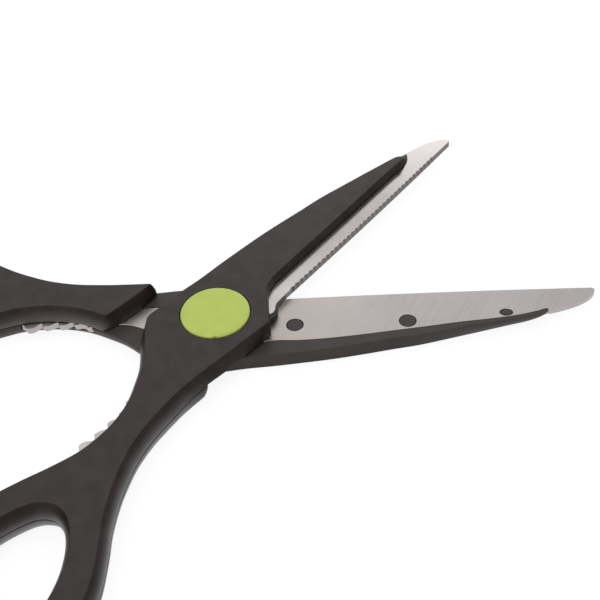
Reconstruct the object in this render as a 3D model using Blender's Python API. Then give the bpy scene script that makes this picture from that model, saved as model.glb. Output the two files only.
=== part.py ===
"""Multipurpose kitchen scissors, open, lying flat.

Each half is a stamped steel plate (blade, tang and nutcracker teeth) between moulded
shells: a long outer shell that covers the blade's spine, the hub and the handle, and
an inner shell that closes the handle round the tang. The two halves turn on a screw,
a nut and a bush, and a round cap hides the screw.

A half is modelled in its own plan: x runs along its cutting edge to the tip, y runs
towards its spine, and z runs out from the plane where the two blades meet. Both halves
share that plan. The upper half is turned about z to its place, and the lower half is
first laid on its back, by half a turn about x.
The part's +X points at the tips along the middle of the open blades, +Z is up, and
the origin is on the pivot's axis, in the plane that the scissors rest on.
"""
import math

import bmesh
import bpy
import numpy as np
from mathutils import Matrix

# Driving sizes, in metres and radians
BLADE_REACH = 0.110
EDGE_DROP = 0.010
PLATE_THICKNESS = 0.0020
COVER_THICKNESS = 0.00265
BLADE_GAP = 0.0003
FIT_GAP = 0.00025
RUNNING_GAP = 0.0002
OPEN_ANGLE = math.radians(52.5)
HALF_THICKNESS = BLADE_GAP / 2 + PLATE_THICKNESS + FIT_GAP + COVER_THICKNESS

# Moulded shells
COVER_RISE = 0.0131
HUB_REACH = 0.0155
HANDLE_REACH = 0.1220
HANDLE_DROP = 0.0450
HANDLE_FLARE = 0.0019
HUB_FLARE = 0.0012
COVER_DRAFT = 0.0007
NOSE_FLARE = 0.0010
SHOULDER_BOW = 0.0013
LOWER_INNER_SHIFT = 0.0010
LOWER_OUTER_SHIFT = 0.0020
POST_INSET = 0.0001
POST_ROOT = 0.0003

# Blade
EDGE_SETBACK = 0.0001
EDGE_BELLY = 0.0004
SPINE_RISE = 0.0069
TOOTH_PITCH = 0.00215
TOOTH_DEPTH = 0.00035
TOOTH_START_SHARE = 0.200
TOOTH_END_SHARE = 0.910
ANCHOR_RADIUS = 0.0025
TIP_ANCHOR_RADIUS = 0.0019
STUD_RADIUS = 0.0014
STUD_DEPTH = 0.0012
CRACKER_RISE = 0.0012
LONG_SIDE_SHARE = 0.35
STEEP_SHARE = 0.27
ROUND_SHARE = 0.25
TIP_SQUASH_SHARE = 0.75

# Pivot
CAP_RADIUS = 0.0100
CAP_PROUD = 0.0006
CAP_EDGE_ROUND = 0.0005
CAP_NOTCH_RADIUS = 0.0009
CAP_NOTCH_BITE = 0.0004
CAP_NOTCH_ANGLE = math.radians(-139.7)
CAP_ROUND_STEPS = 3
SPIGOT_RADIUS = 0.0009
SPIGOT_LENGTH = 0.0005
HEAD_RADIUS = 0.0055
HEAD_THICKNESS = 0.0010
SOCKET_RADIUS = 0.0016
SOCKET_DEPTH = 0.0007
SHANK_RADIUS = 0.0019
BARREL_RADIUS = 0.0030
BUSH_WALL = 0.0008
NUT_RADIUS = 0.0068
NUT_THICKNESS = 0.0013
SPANNER_HOLE_RADIUS = 0.0008
SPANNER_HOLE_DEPTH = 0.0007
WASHER_THICKNESS = 0.0003
WASHER_WAVE = 0.00012
WASHER_WAVE_COUNT = 3
BARREL_FLOOR_RISE = 0.0006

# Drawing steps
OUTLINE_STEPS = 2
HOLE_STEPS = 3
FADE_STEPS = 4
CORNER_FADE_STEPS = 2
NOSE_FADE_STEPS = 6
SHOULDER_STEPS = 5
ROUND_SEGMENTS = 32
SMALL_SEGMENTS = 20
CUT_OVERRUN = 0.002
SMOOTH_ANGLE = math.radians(35)

# Outlines of one half. The first number of each point is a share of the reach on its
# side of the pivot, and the second is a share of the height named with it.
COVER_SPINE_SHARES = (
    (0.808, -0.140), (0.798, -0.114), (0.786, -0.087), (0.751, -0.010), (0.677, 0.155),
    (0.604, 0.313), (0.530, 0.466), (0.454, 0.58), (0.380, 0.695), (0.303, 0.80),
    (0.227, 0.878), (0.151, 0.947), (0.076, 1.0),
)
HUB_BACK_SHARES = (
    (0.045, 0.916), (-0.200, 0.942), (-0.458, 0.961), (-0.740, 0.985), (-0.830, 0.960),
)
NECK_SHARES = (
    (-0.122, 0.298), (-0.145, 0.243), (-0.171, 0.180), (-0.195, 0.122), (-0.221, 0.070),
)
# The inner edge and the hub's side each start at an end of the shoulder wall
INNER_EDGE_SHARES = (
    (-0.258, 0.014), (-0.298, -0.040), (-0.338, -0.077), (-0.382, -0.098),
    (-0.428, -0.101), (-0.478, -0.086), (-0.542, -0.030),
)
LOOP_SHARES = (
    (-0.608, 0.040), (-0.688, 0.110), (-0.774, 0.145), (-0.864, 0.125),
    (-0.943, 0.020), (-0.994, -0.180), (-0.999, -0.430), (-0.958, -0.650),
    (-0.885, -0.790), (-0.793, -0.835), (-0.706, -0.770), (-0.630, -0.640),
)
OUTER_EDGE_SHARES = (
    (-0.570, -0.520), (-0.507, -0.418), (-0.464, -0.363), (-0.417, -0.313),
    (-0.373, -0.282), (-0.333, -0.264), (-0.295, -0.256), (-0.261, -0.251),
    (-0.228, -0.250),
)
HUB_SIDE_SHARES = ((-0.160, -0.262), (-0.103, -0.284), (-0.041, -0.302), (0.017, -0.320))
HUB_FRONT_SHARES = ((0.400, -0.974), (0.548, -0.815), (0.920, -0.472), (1.072, -0.362))
COVER_WALL_SHARES = ((0.190, -0.325), (0.227, -0.320), (0.500, -0.323), (0.770, -0.320))
NOSE_SHARES = ((0.800, -0.335), (0.816, -0.290), (0.820, -0.220))
NOSE_BASE_SHARES = ((0.826, -0.375), (0.849, -0.330), (0.868, -0.250), (0.886, -0.165))
# From the nose's corner along the foot of the wall that covers the blade's spine
SPINE_BASE_SHARES = (
    (0.886, -0.165), (0.871, -0.185), (0.864, -0.070), (0.797, 0.080), (0.688, 0.240),
)
FINGER_HOLE_SHARES = (
    (-0.600, -0.247), (-0.621, -0.140), (-0.671, -0.068), (-0.747, -0.018),
    (-0.832, -0.008), (-0.900, -0.075), (-0.941, -0.240), (-0.936, -0.450),
    (-0.885, -0.610), (-0.803, -0.662), (-0.716, -0.602), (-0.643, -0.475),
    (-0.608, -0.357),
)

# Outline of the stamped plate, from the tip round by the tang to the choil, and the small
# moulded nub that fills the corner between the choil and the hub
TIP_SHARES = (
    (1.000, -0.95), (1.000, -0.88), (0.987, -0.69), (0.959, -0.485), (0.925, -0.325),
    (0.880, -0.18), (0.870, -0.165), (0.866, -0.215),
)
BLADE_SPINE_SHARES = (
    (0.838, -0.185), (0.789, 0.00), (0.739, 0.12), (0.635, 0.29), (0.556, 0.46),
    (0.478, 0.61), (0.400, 0.77), (0.296, 0.94), (0.218, 1.00), (0.141, 0.98),
)
PLATE_HUB_SHARES = ((0.50, 0.56), (0.20, 0.64), (-0.20, 0.62), (-0.60, 0.42), (-0.90, 0.12))
TANG_TOP_SHARES = ((-0.140, 0.030), (-0.174, 0.005), (-0.209, -0.033), (-0.240, -0.041))
CRACKER_TIP_SHARES = (
    (-0.308, 0.000), (-0.340, -0.028), (-0.376, -0.027), (-0.415, -0.024), (-0.455, -0.007),
)
TANG_END_SHARES = ((-0.474, -0.050), (-0.503, -0.150), (-0.522, -0.300), (-0.484, -0.300))
TANG_BOTTOM_SHARES = ((-0.406, -0.240), (-0.319, -0.210), (-0.232, -0.184), (-0.140, -0.184))
PLATE_FRONT_SHARES = ((-0.60, -0.62), (-0.10, -0.72), (0.40, -0.74))
CHOIL_SHARES = ((0.64, -1.08), (0.76, -1.16), (0.86, -1.12), (0.955, -1.02), (1.12, -0.995))
NUB_SHARES = ((0.25, -0.78), (0.40, -1.10), (0.62, -1.29), (0.79, -1.25), (0.91, -1.14),
              (0.93, -1.02), (0.64, -0.83))
# Where the plain edge has points, and one scallop of the toothed edge: how far along
# the pitch each point lies, and how deep it bites
PLAIN_EDGE_SHARES = (0.21, 0.35, 0.50, 0.65, 0.80, 0.92, 0.995)
SCALLOP_SHARES = ((0.0, 0.0), (0.25, 0.75), (0.5, 1.0), (0.75, 0.75))

# Centres of the plate's holes, which the shells' posts and studs pass
ANCHOR_SHARES = ((0.205, 0.12), (0.500, 0.115), (0.758, -0.17))
STUD_SHARES = ((-0.329, -0.145), (-0.455, -0.190))

# How far up a side wall each drawn level lies
LEVEL_SHARES = (0.0, 0.40, 0.75, 1.0)

BLACK = ((0.048, 0.044, 0.043), 0.0, 0.48)
STEEL = ((0.56, 0.54, 0.53), 1.0, 0.34)
SCREW_STEEL = ((0.50, 0.50, 0.50), 1.0, 0.28)
GREEN = ((0.48, 0.58, 0.14), 0.0, 0.36)
BUSH_WHITE = ((0.80, 0.79, 0.74), 0.0, 0.45)


def clear_scene():
    """Remove whatever the file holds."""
    for obj in list(bpy.data.objects):
        bpy.data.objects.remove(obj)


def make_material(name, look):
    """Return a Principled material with the given colour, metallic and roughness."""
    colour, metallic, roughness = look
    material = bpy.data.materials.new(name)
    material.use_nodes = True
    shader = material.node_tree.nodes["Principled BSDF"]
    shader.inputs["Base Color"].default_value = (*colour, 1.0)
    shader.inputs["Metallic"].default_value = metallic
    shader.inputs["Roughness"].default_value = roughness
    return material


def object_from_bmesh(name, bm, parent, look=None):
    """Turn a bmesh into a shaded object that hangs on a parent."""
    bmesh.ops.recalc_face_normals(bm, faces=bm.faces[:])
    mesh = bpy.data.meshes.new(name)
    bm.to_mesh(mesh)
    bm.free()
    obj = bpy.data.objects.new(name, mesh)
    bpy.context.scene.collection.objects.link(obj)
    obj.parent = parent
    if look is not None:
        mesh.materials.append(make_material(name, look))
        mesh.shade_smooth()
        mesh.set_sharp_from_angle(angle=SMOOTH_ANGLE)
    return obj


def as_guide(obj):
    """Hide a cutter or an added body, which only shapes another piece."""
    obj.hide_render = True
    obj.display_type = "WIRE"
    return obj


def boolean(obj, other, operation="DIFFERENCE"):
    """Cut a guide out of a piece, or join it on."""
    modifier = obj.modifiers.new(other.name, "BOOLEAN")
    modifier.operation = operation
    modifier.solver = "EXACT"
    modifier.object = as_guide(other)


def curve_point(controls, share):
    """Point on a centripetal Catmull-Rom span, between the middle two of four controls."""
    gaps = np.sqrt(np.linalg.norm(np.diff(controls, axis=0), axis=1))
    knots = np.concatenate([[0.0], np.cumsum(gaps)])
    at = knots[1] + (knots[2] - knots[1]) * share
    points = list(controls)
    for order in (1, 2, 3):
        blended = []
        for i in range(4 - order):
            start, end = (knots[i], knots[i + order]) if order < 3 else (knots[1], knots[2])
            weight = (at - start) / (end - start)
            blended.append(points[i] * (1 - weight) + points[i + 1] * weight)
        points = blended
    return points[0]


def smooth_run(points, steps, closed=False):
    """Sample a smooth curve through points, leaving out the last point when open."""
    points = [np.array(point) for point in points]
    if closed:
        points = points[-1:] + points + points[:2]
    else:
        points = [2 * points[0] - points[1]] + points + [2 * points[-1] - points[-2]]
    samples = []
    for span in range(len(points) - 3):
        controls = np.array(points[span:span + 4])
        samples += [curve_point(controls, step / steps) for step in range(steps)]
    return np.array(samples)


def outward_normals(ring):
    """Unit normals of a ring that runs anticlockwise, pointing out of it."""
    ahead = np.roll(ring, -1, axis=0) - ring
    ahead /= np.linalg.norm(ahead, axis=1)[:, None]
    behind = np.roll(ahead, 1, axis=0)
    normal = np.stack([ahead[:, 1] + behind[:, 1], -ahead[:, 0] - behind[:, 0]], axis=1)
    return normal / np.linalg.norm(normal, axis=1)[:, None]


def scaled(shares, length, height, shift=0.0):
    """Points from shares of a length and a height, moved down by shift."""
    return [(x * length, y * height - shift) for x, y in shares]


def shell_outline(shifts):
    """Plan outline of the moulded half at its outer face and at the blades' plane.

    The handle's inner and outer sides lie further out by the two shifts, its loop by
    their mean, and the hub's side takes that up.
    Returns both rings, anticlockwise and point for point, with the places of the
    samples where the shoulder wall meets the inner edge and the hub's side.
    """
    inner_shift, outer_shift = shifts
    spine = scaled(COVER_SPINE_SHARES, BLADE_REACH, COVER_RISE)
    back = scaled(HUB_BACK_SHARES, HUB_REACH, HUB_REACH)
    neck = scaled(NECK_SHARES, HANDLE_REACH, HANDLE_DROP, inner_shift)
    grip = scaled(INNER_EDGE_SHARES, HANDLE_REACH, HANDLE_DROP, inner_shift)
    grip += scaled(LOOP_SHARES, HANDLE_REACH, HANDLE_DROP, np.mean(shifts))
    grip += scaled(OUTER_EDGE_SHARES, HANDLE_REACH, HANDLE_DROP, outer_shift)
    side = scaled(HUB_SIDE_SHARES, HANDLE_REACH, HANDLE_DROP)
    steps = np.linspace(np.mean(shifts), 0.0, len(side), endpoint=False)
    side = [(x, y - step) for (x, y), step in zip(side, steps)]
    front = scaled(HUB_FRONT_SHARES, HUB_REACH, HUB_REACH)
    wall = scaled(COVER_WALL_SHARES, BLADE_REACH, COVER_RISE)
    nose = scaled(NOSE_SHARES, BLADE_REACH, COVER_RISE)

    top_spine = smooth_run(spine + back, OUTLINE_STEPS)
    handle = back[-1:] + neck + grip + side
    top_handle = smooth_run(handle + front[:1], OUTLINE_STEPS)
    top_front = smooth_run(front + wall[:1], OUTLINE_STEPS)
    top_wall = smooth_run(wall + nose[:1], OUTLINE_STEPS)
    top_nose = smooth_run(nose + spine[:1], OUTLINE_STEPS)
    top = np.concatenate([top_spine, top_handle, top_front, top_wall, top_nose])

    flare = np.zeros(len(top))
    handle_start = len(top_spine)
    wall_start = handle_start + len(top_handle)
    nose_start = wall_start + len(top_front) + len(top_wall)
    first = handle_start + OUTLINE_STEPS * (1 + len(neck))
    last = first + OUTLINE_STEPS * len(grip)
    flare[handle_start:last] = HANDLE_FLARE
    flare[last:wall_start] = HUB_FLARE
    flare[wall_start:nose_start] = COVER_DRAFT
    fade = np.linspace(0.0, 1.0, FADE_STEPS + 1)[1:]
    flare[handle_start:handle_start + FADE_STEPS] *= fade
    flare[last - FADE_STEPS:last] = np.linspace(HANDLE_FLARE, HUB_FLARE, FADE_STEPS)
    corner_fade = np.linspace(1.0, 0.0, CORNER_FADE_STEPS, endpoint=False)
    flare[wall_start - CORNER_FADE_STEPS:wall_start] *= corner_fade
    flare[wall_start:wall_start + FADE_STEPS] *= fade
    spine_base = scaled(SPINE_BASE_SHARES, BLADE_REACH, COVER_RISE)
    fade_start = OUTLINE_STEPS * (len(spine_base) - 1) + 1
    fade_end = fade_start + NOSE_FADE_STEPS
    flare[fade_start:fade_end] = NOSE_FLARE * np.linspace(1.0, 0.0, NOSE_FADE_STEPS)
    base = top + outward_normals(top) * flare[:, None]
    nose_base = scaled(NOSE_BASE_SHARES, BLADE_REACH, COVER_RISE)
    base[nose_start:] = smooth_run(nose_base, OUTLINE_STEPS)
    base[:fade_start] = [*smooth_run(spine_base, OUTLINE_STEPS), spine_base[-1]]

    # At both ends of the shoulder wall the sides flare in line with the wall
    along = top[last] - top[first]
    along /= np.linalg.norm(along)
    for index, way in ((first, -along), (last, along)):
        step = base[index] - top[index]
        reach = np.dot(step, step) / max(np.dot(step, way), np.linalg.norm(step) / 2)
        base[index] = top[index] + way * reach
    return top, base, first, last


def hole_outline(shifts):
    """Finger hole's outline at the outer face and at the blades' plane."""
    points = scaled(FINGER_HOLE_SHARES, HANDLE_REACH, HANDLE_DROP, np.mean(shifts))
    top = smooth_run(points, HOLE_STEPS, closed=True)
    return top, top - outward_normals(top) * HANDLE_FLARE


def shoulder_wall(top, base):
    """Points of the wall that closes the inner half's rings; its foot bows out."""
    share = np.linspace(0.0, 1.0, SHOULDER_STEPS + 1)[1:-1, None]
    across = top[0] - top[-1]
    out = np.array([across[1], -across[0]]) / np.linalg.norm(across)
    bow = SHOULDER_BOW * (1.0 - (2.0 * share - 1.0) ** 4)
    return top[-1] + across * share, base[-1] + (base[0] - base[-1]) * share + out * bow


def level_rings(pairs, share):
    """Rings at a share of the way from the blades' plane to the outer face."""
    left = 1.0 - share ** 2
    return [top + (base - top) * left for top, base in pairs]


def fill_level(bm, rings):
    """Fill one level's outside ring, leaving its holes open."""
    edges = []
    for ring in rings:
        for i, vert in enumerate(ring):
            found = bm.edges.get((ring[i - 1], vert))
            edges.append(found or bm.edges.new((ring[i - 1], vert)))
    bmesh.ops.triangle_fill(bm, use_beauty=True, edges=edges)


def stacked_solid(bm, levels):
    """Close a solid over levels: each is a height and its rings, the outside first."""
    below = None
    for height, rings in levels:
        here = [[bm.verts.new((x, y, height)) for x, y in ring] for ring in rings]
        if below is None:
            fill_level(bm, here)
        else:
            for low, high in zip(below, here):
                for i in range(len(low)):
                    bm.faces.new((low[i - 1], low[i], high[i], high[i - 1]))
        below = here
    fill_level(bm, below)


def flat_solid(name, ring, low, high, parent, look=None):
    """A plate of one outline between two heights."""
    bm = bmesh.new()
    stacked_solid(bm, [(low, [ring]), (high, [ring])])
    return object_from_bmesh(name, bm, parent, look)


def round_ring(centre, radius, segments=SMALL_SEGMENTS, squash=1.0):
    """Points of a circle, or of an oval that is squashed along y."""
    angles = np.linspace(0.0, 2 * math.pi, segments, endpoint=False)
    along = centre[0] + radius * np.cos(angles)
    across = centre[1] + radius * squash * np.sin(angles)
    return np.stack([along, across], axis=1)


def drum(name, radius, low, high, parent, segments=ROUND_SEGMENTS):
    """A plain cylinder on the pivot's axis, used to cut bores."""
    return flat_solid(name, round_ring((0.0, 0.0), radius, segments), low, high, parent)


def turned(name, profile, parent, look, segments=ROUND_SEGMENTS):
    """Spin a closed profile of (radius, height) points about the pivot's axis."""
    bm = bmesh.new()
    verts = [bm.verts.new((radius, 0.0, height)) for radius, height in profile]
    edges = [bm.edges.new((verts[i - 1], verts[i])) for i in range(len(verts))]
    on_axis = [e for e in edges if all(v.co.x == 0.0 for v in e.verts)]
    bmesh.ops.delete(bm, geom=on_axis, context="EDGES")
    geometry = bm.verts[:] + bm.edges[:]
    bmesh.ops.spin(bm, geom=geometry, cent=(0.0, 0.0, 0.0), axis=(0.0, 0.0, 1.0),
                   angle=2 * math.pi, steps=segments, use_merge=True)
    bmesh.ops.remove_doubles(bm, verts=bm.verts[:], dist=FIT_GAP / segments)
    return object_from_bmesh(name, bm, parent, look)


def plate_levels():
    """Heights of a plate's inner and outer faces above the blades' plane."""
    inner = BLADE_GAP / 2
    return inner, inner + PLATE_THICKNESS


def edge_height(x):
    """Height of the cutting edge, which bows out between its first tooth and the tip."""
    start = TOOTH_START_SHARE * BLADE_REACH
    share = (x - start) / (BLADE_REACH - start)
    return -EDGE_DROP - EDGE_BELLY * (1.0 - (2.0 * share - 1.0) ** 2)


def edge_points(toothed):
    """Cutting edge at the inner face and at the outer face, point for point."""
    points = [(share * BLADE_REACH, 0.0) for share in PLAIN_EDGE_SHARES]
    if toothed:
        start = TOOTH_START_SHARE * BLADE_REACH
        count = int((TOOTH_END_SHARE * BLADE_REACH - start) / TOOTH_PITCH)
        teeth = [(start + (tooth + along) * TOOTH_PITCH, bite * TOOTH_DEPTH)
                 for tooth in range(count) for along, bite in SCALLOP_SHARES]
        points = teeth + points[-1:]
    line = [(x, edge_height(x)) for x, _ in points]
    setback = [(x, edge_height(x) + EDGE_SETBACK + bite) for x, bite in points]
    return line, setback


def cracker_points(inner_shift, rise):
    """Nutcracker teeth: each tip has a steep side towards the loop and a long side."""
    tips = scaled(CRACKER_TIP_SHARES, HANDLE_REACH, HANDLE_DROP, inner_shift)
    pitch = (tips[0][0] - tips[-1][0]) / (len(tips) - 1)
    points = []
    for number, (x, y) in enumerate(tips):
        if number:
            points.append((x + LONG_SIDE_SHARE * pitch, y - ROUND_SHARE * rise))
        points.append((x, y))
        points.append((x - STEEP_SHARE * pitch, y - rise))
    return points


def plate_outline(toothed, inner_shift, cracker_rise=CRACKER_RISE):
    """Outline of the stamped plate at its inner and its outer face."""
    edge, edge_outer = edge_points(toothed)
    start = scaled(CHOIL_SHARES, HUB_REACH, EDGE_DROP)
    tip = scaled(TIP_SHARES, BLADE_REACH, EDGE_DROP)
    spine = scaled(BLADE_SPINE_SHARES, BLADE_REACH, SPINE_RISE)
    hub = scaled(PLATE_HUB_SHARES, HUB_REACH, HUB_REACH)
    tang_top = scaled(TANG_TOP_SHARES, HANDLE_REACH, HANDLE_DROP)
    cracker = cracker_points(inner_shift, cracker_rise)
    tang_end = scaled(TANG_END_SHARES, HANDLE_REACH, HANDLE_DROP, inner_shift)
    tang_bottom = scaled(TANG_BOTTOM_SHARES, HANDLE_REACH, HANDLE_DROP)
    front = scaled(PLATE_FRONT_SHARES, HUB_REACH, HUB_REACH)
    back = tip + spine + hub + tang_top + cracker + tang_end + tang_bottom + front + start
    return np.array(edge + back), np.array(edge_outer + back)


def plate_holes():
    """Centre, radius and squash of the holes that the shells' posts and studs pass."""
    anchors = scaled(ANCHOR_SHARES, BLADE_REACH, SPINE_RISE)
    studs = scaled(STUD_SHARES, HANDLE_REACH, HANDLE_DROP)
    posts = [(anchors[0], ANCHOR_RADIUS, 1.0), (anchors[1], ANCHOR_RADIUS, 1.0),
             (anchors[2], TIP_ANCHOR_RADIUS, TIP_SQUASH_SHARE)]
    return posts, [(centre, STUD_RADIUS, 1.0) for centre in studs]


def build_blade(name, toothed, inner_shift, parent):
    """Stamped steel plate: blade, hub, tang and nutcracker teeth in one piece."""
    low, high = plate_levels()
    inner_face, outer_face = plate_outline(toothed, inner_shift)
    posts, studs = plate_holes()
    holes = [round_ring(centre, radius, SMALL_SEGMENTS, squash)
             for centre, radius, squash in posts + studs]
    holes.append(round_ring((0.0, 0.0), bush_bore_radius(), ROUND_SEGMENTS))
    bm = bmesh.new()
    stacked_solid(bm, [(low, [inner_face] + holes), (high, [outer_face] + holes)])
    return object_from_bmesh(name, bm, parent, STEEL)


def bush_bore_radius():
    """Radius of the plates' pivot bore, which runs on the bush."""
    return BARREL_RADIUS + BUSH_WALL + 2 * RUNNING_GAP


def pocket_floor():
    """Height of the shell's face over the plate's outer face."""
    return plate_levels()[1] + FIT_GAP


def build_outer_shell(name, shifts, parent):
    """Moulded cover, hub and outer half of the handle, with its pocket for the plate."""
    inner_face = BLADE_GAP / 2
    top, base, _, _ = shell_outline(shifts)
    pairs = [(top, base), hole_outline(shifts)]
    rise = HALF_THICKNESS - inner_face
    levels = [(inner_face + rise * share, level_rings(pairs, share))
              for share in LEVEL_SHARES]
    bm = bmesh.new()
    stacked_solid(bm, levels)
    shell = object_from_bmesh(name, bm, parent, BLACK)

    nub = scaled(NUB_SHARES, HUB_REACH, EDGE_DROP)
    boolean(shell, flat_solid(name + "_nub", np.array(nub), inner_face + FIT_GAP,
                              plate_levels()[1], parent), "UNION")
    # The teeth's notches are turned outwards, so the pocket opens through the side there
    plain, _ = plate_outline(False, shifts[0], -CRACKER_RISE)
    pocket = plain + outward_normals(plain) * FIT_GAP
    boolean(shell, flat_solid(name + "_pocket", pocket, inner_face - CUT_OVERRUN,
                              pocket_floor(), parent))
    posts, studs = plate_holes()
    for number, (centre, radius, squash) in enumerate(posts):
        ring = round_ring(centre, radius - FIT_GAP, SMALL_SEGMENTS, squash)
        post = flat_solid(name + "_post_%d" % number, ring, inner_face + POST_INSET,
                          pocket_floor() + POST_ROOT, parent)
        boolean(shell, post, "UNION")
    for number, (centre, radius, _) in enumerate(studs):
        socket = flat_solid(name + "_socket_%d" % number, round_ring(centre, radius),
                            inner_face - CUT_OVERRUN, pocket_floor() + STUD_DEPTH, parent)
        boolean(shell, socket)
    return shell


def build_inner_shell(name, shifts, parent):
    """Inner half of the handle, from the shoulder wall back, with two locating studs."""
    face = BLADE_GAP / 2 - FIT_GAP
    top, base, first, last = shell_outline(shifts)
    grip = top[first:last + 1], base[first:last + 1]
    closed = [np.concatenate(pair) for pair in zip(grip, shoulder_wall(*grip))]
    pairs = [closed, hole_outline(shifts)]
    drop = HALF_THICKNESS + face
    levels = [(face - drop * share, level_rings(pairs, share)) for share in LEVEL_SHARES]
    bm = bmesh.new()
    stacked_solid(bm, levels)
    shell = object_from_bmesh(name, bm, parent, BLACK)
    _, studs = plate_holes()
    for number, (centre, radius, _) in enumerate(studs):
        ring = round_ring(centre, radius - FIT_GAP)
        stud = flat_solid(name + "_stud_%d" % number, ring, face - POST_ROOT,
                          pocket_floor() + STUD_DEPTH - FIT_GAP, parent)
        boolean(shell, stud, "UNION")
    return shell


def head_levels():
    """Heights of the screw head's underside and top, over the wave washer."""
    low = plate_levels()[1] + WASHER_THICKNESS + 2 * WASHER_WAVE + 2 * RUNNING_GAP
    return low, low + HEAD_THICKNESS


def cap_levels():
    """Heights of the cap's underside, just over the screw head, and of its top."""
    return head_levels()[1] + RUNNING_GAP, HALF_THICKNESS + CAP_PROUD


def nut_levels():
    """Heights of the nut flange's seat and of its flush outer face."""
    return HALF_THICKNESS - NUT_THICKNESS, HALF_THICKNESS


def cut_screw_side(shell, parent):
    """Bore the upper shell for the screw head and counterbore it for the cap."""
    floor = cap_levels()[0] - FIT_GAP
    boolean(shell, drum("cap_recess", CAP_RADIUS + FIT_GAP, floor,
                        HALF_THICKNESS + CUT_OVERRUN, parent))
    boolean(shell, drum("head_bore", HEAD_RADIUS + FIT_GAP, -CUT_OVERRUN,
                        floor + CUT_OVERRUN, parent))


def cut_nut_side(shell, parent):
    """Bore the lower shell for the nut's barrel and counterbore it for its flange."""
    floor = nut_levels()[0] - FIT_GAP
    boolean(shell, drum("nut_recess", NUT_RADIUS + FIT_GAP, floor,
                        HALF_THICKNESS + CUT_OVERRUN, parent))
    boolean(shell, drum("barrel_bore", BARREL_RADIUS + RUNNING_GAP, -CUT_OVERRUN,
                        floor + CUT_OVERRUN, parent))


def build_cap(parent):
    """Round snap-in cap with a softened rim, a pry notch and a locating spigot."""
    low, high = cap_levels()
    rim = CAP_RADIUS - CAP_EDGE_ROUND
    profile = [(0.0, low - SPIGOT_LENGTH), (SPIGOT_RADIUS, low - SPIGOT_LENGTH),
               (SPIGOT_RADIUS, low), (CAP_RADIUS, low)]
    for step in range(CAP_ROUND_STEPS + 1):
        angle = step * math.pi / 2 / CAP_ROUND_STEPS
        profile.append((rim + CAP_EDGE_ROUND * math.cos(angle),
                        high - CAP_EDGE_ROUND + CAP_EDGE_ROUND * math.sin(angle)))
    profile.append((0.0, high))
    cap = turned("pivot_cap", profile, parent, GREEN, 2 * ROUND_SEGMENTS)
    away = CAP_RADIUS + CAP_NOTCH_RADIUS - CAP_NOTCH_BITE
    centre = (away * math.cos(CAP_NOTCH_ANGLE), away * math.sin(CAP_NOTCH_ANGLE))
    notch = flat_solid("cap_notch", round_ring(centre, CAP_NOTCH_RADIUS),
                       low - CUT_OVERRUN, high + CUT_OVERRUN, parent)
    boolean(cap, notch)


def build_screw(parent):
    """Pivot screw: a flat head with a hexagon socket, and a shank in the nut's barrel."""
    low, high = head_levels()
    shank_end = BARREL_FLOOR_RISE - nut_levels()[0] + RUNNING_GAP
    profile = [(0.0, shank_end), (SHANK_RADIUS, shank_end), (SHANK_RADIUS, low),
               (HEAD_RADIUS, low), (HEAD_RADIUS, high), (0.0, high)]
    screw = turned("pivot_screw", profile, parent, SCREW_STEEL)
    hexagon = round_ring((0.0, 0.0), SOCKET_RADIUS, 6)
    boolean(screw, flat_solid("screw_socket", hexagon, high - SOCKET_DEPTH,
                              high + CUT_OVERRUN, parent))


def build_nut(parent):
    """Pivot nut: a flange flush in the lower shell, and a barrel through both plates."""
    seat, face = nut_levels()
    barrel_end = head_levels()[0] - FIT_GAP
    bore = SHANK_RADIUS + RUNNING_GAP
    profile = [(0.0, -face), (NUT_RADIUS, -face), (NUT_RADIUS, -seat),
               (BARREL_RADIUS, -seat), (BARREL_RADIUS, barrel_end), (bore, barrel_end),
               (bore, BARREL_FLOOR_RISE - seat), (0.0, BARREL_FLOOR_RISE - seat)]
    nut = turned("pivot_nut", profile, parent, SCREW_STEEL)
    out = (BARREL_RADIUS + NUT_RADIUS) / 2
    for number, centre in enumerate([(-out, 0.0), (out, 0.0)]):
        ring = round_ring(centre, SPANNER_HOLE_RADIUS)
        boolean(nut, flat_solid("spanner_hole_%d" % number, ring, -face - CUT_OVERRUN,
                                -face + SPANNER_HOLE_DEPTH, parent))


def build_bush(parent):
    """Plain bearing sleeve on the barrel, which both plates turn on."""
    bore = BARREL_RADIUS + RUNNING_GAP
    outside = bore + BUSH_WALL
    end = plate_levels()[1] - RUNNING_GAP / 2
    profile = [(bore, -end), (outside, -end), (outside, end), (bore, end)]
    turned("pivot_bush", profile, parent, BUSH_WHITE)


def build_washer(parent):
    """Wave washer between the upper plate and the screw head, which holds the blades."""
    low = plate_levels()[1] + RUNNING_GAP + WASHER_WAVE
    bore = BARREL_RADIUS + RUNNING_GAP
    outside = HEAD_RADIUS - RUNNING_GAP
    high = low + WASHER_THICKNESS
    profile = [(bore, low), (outside, low), (outside, high), (bore, high)]
    washer = turned("wave_washer", profile, parent, SCREW_STEEL)
    for vert in washer.data.vertices:
        turn = math.atan2(vert.co.y, vert.co.x)
        vert.co.z += WASHER_WAVE * math.cos(WASHER_WAVE_COUNT * turn)


def place_half(name, turn):
    """Empty on the pivot's axis, in the plane where the blades meet."""
    empty = bpy.data.objects.new(name, None)
    empty.matrix_world = Matrix.Translation((0.0, 0.0, HALF_THICKNESS)) @ turn
    bpy.context.scene.collection.objects.link(empty)
    return empty


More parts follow.
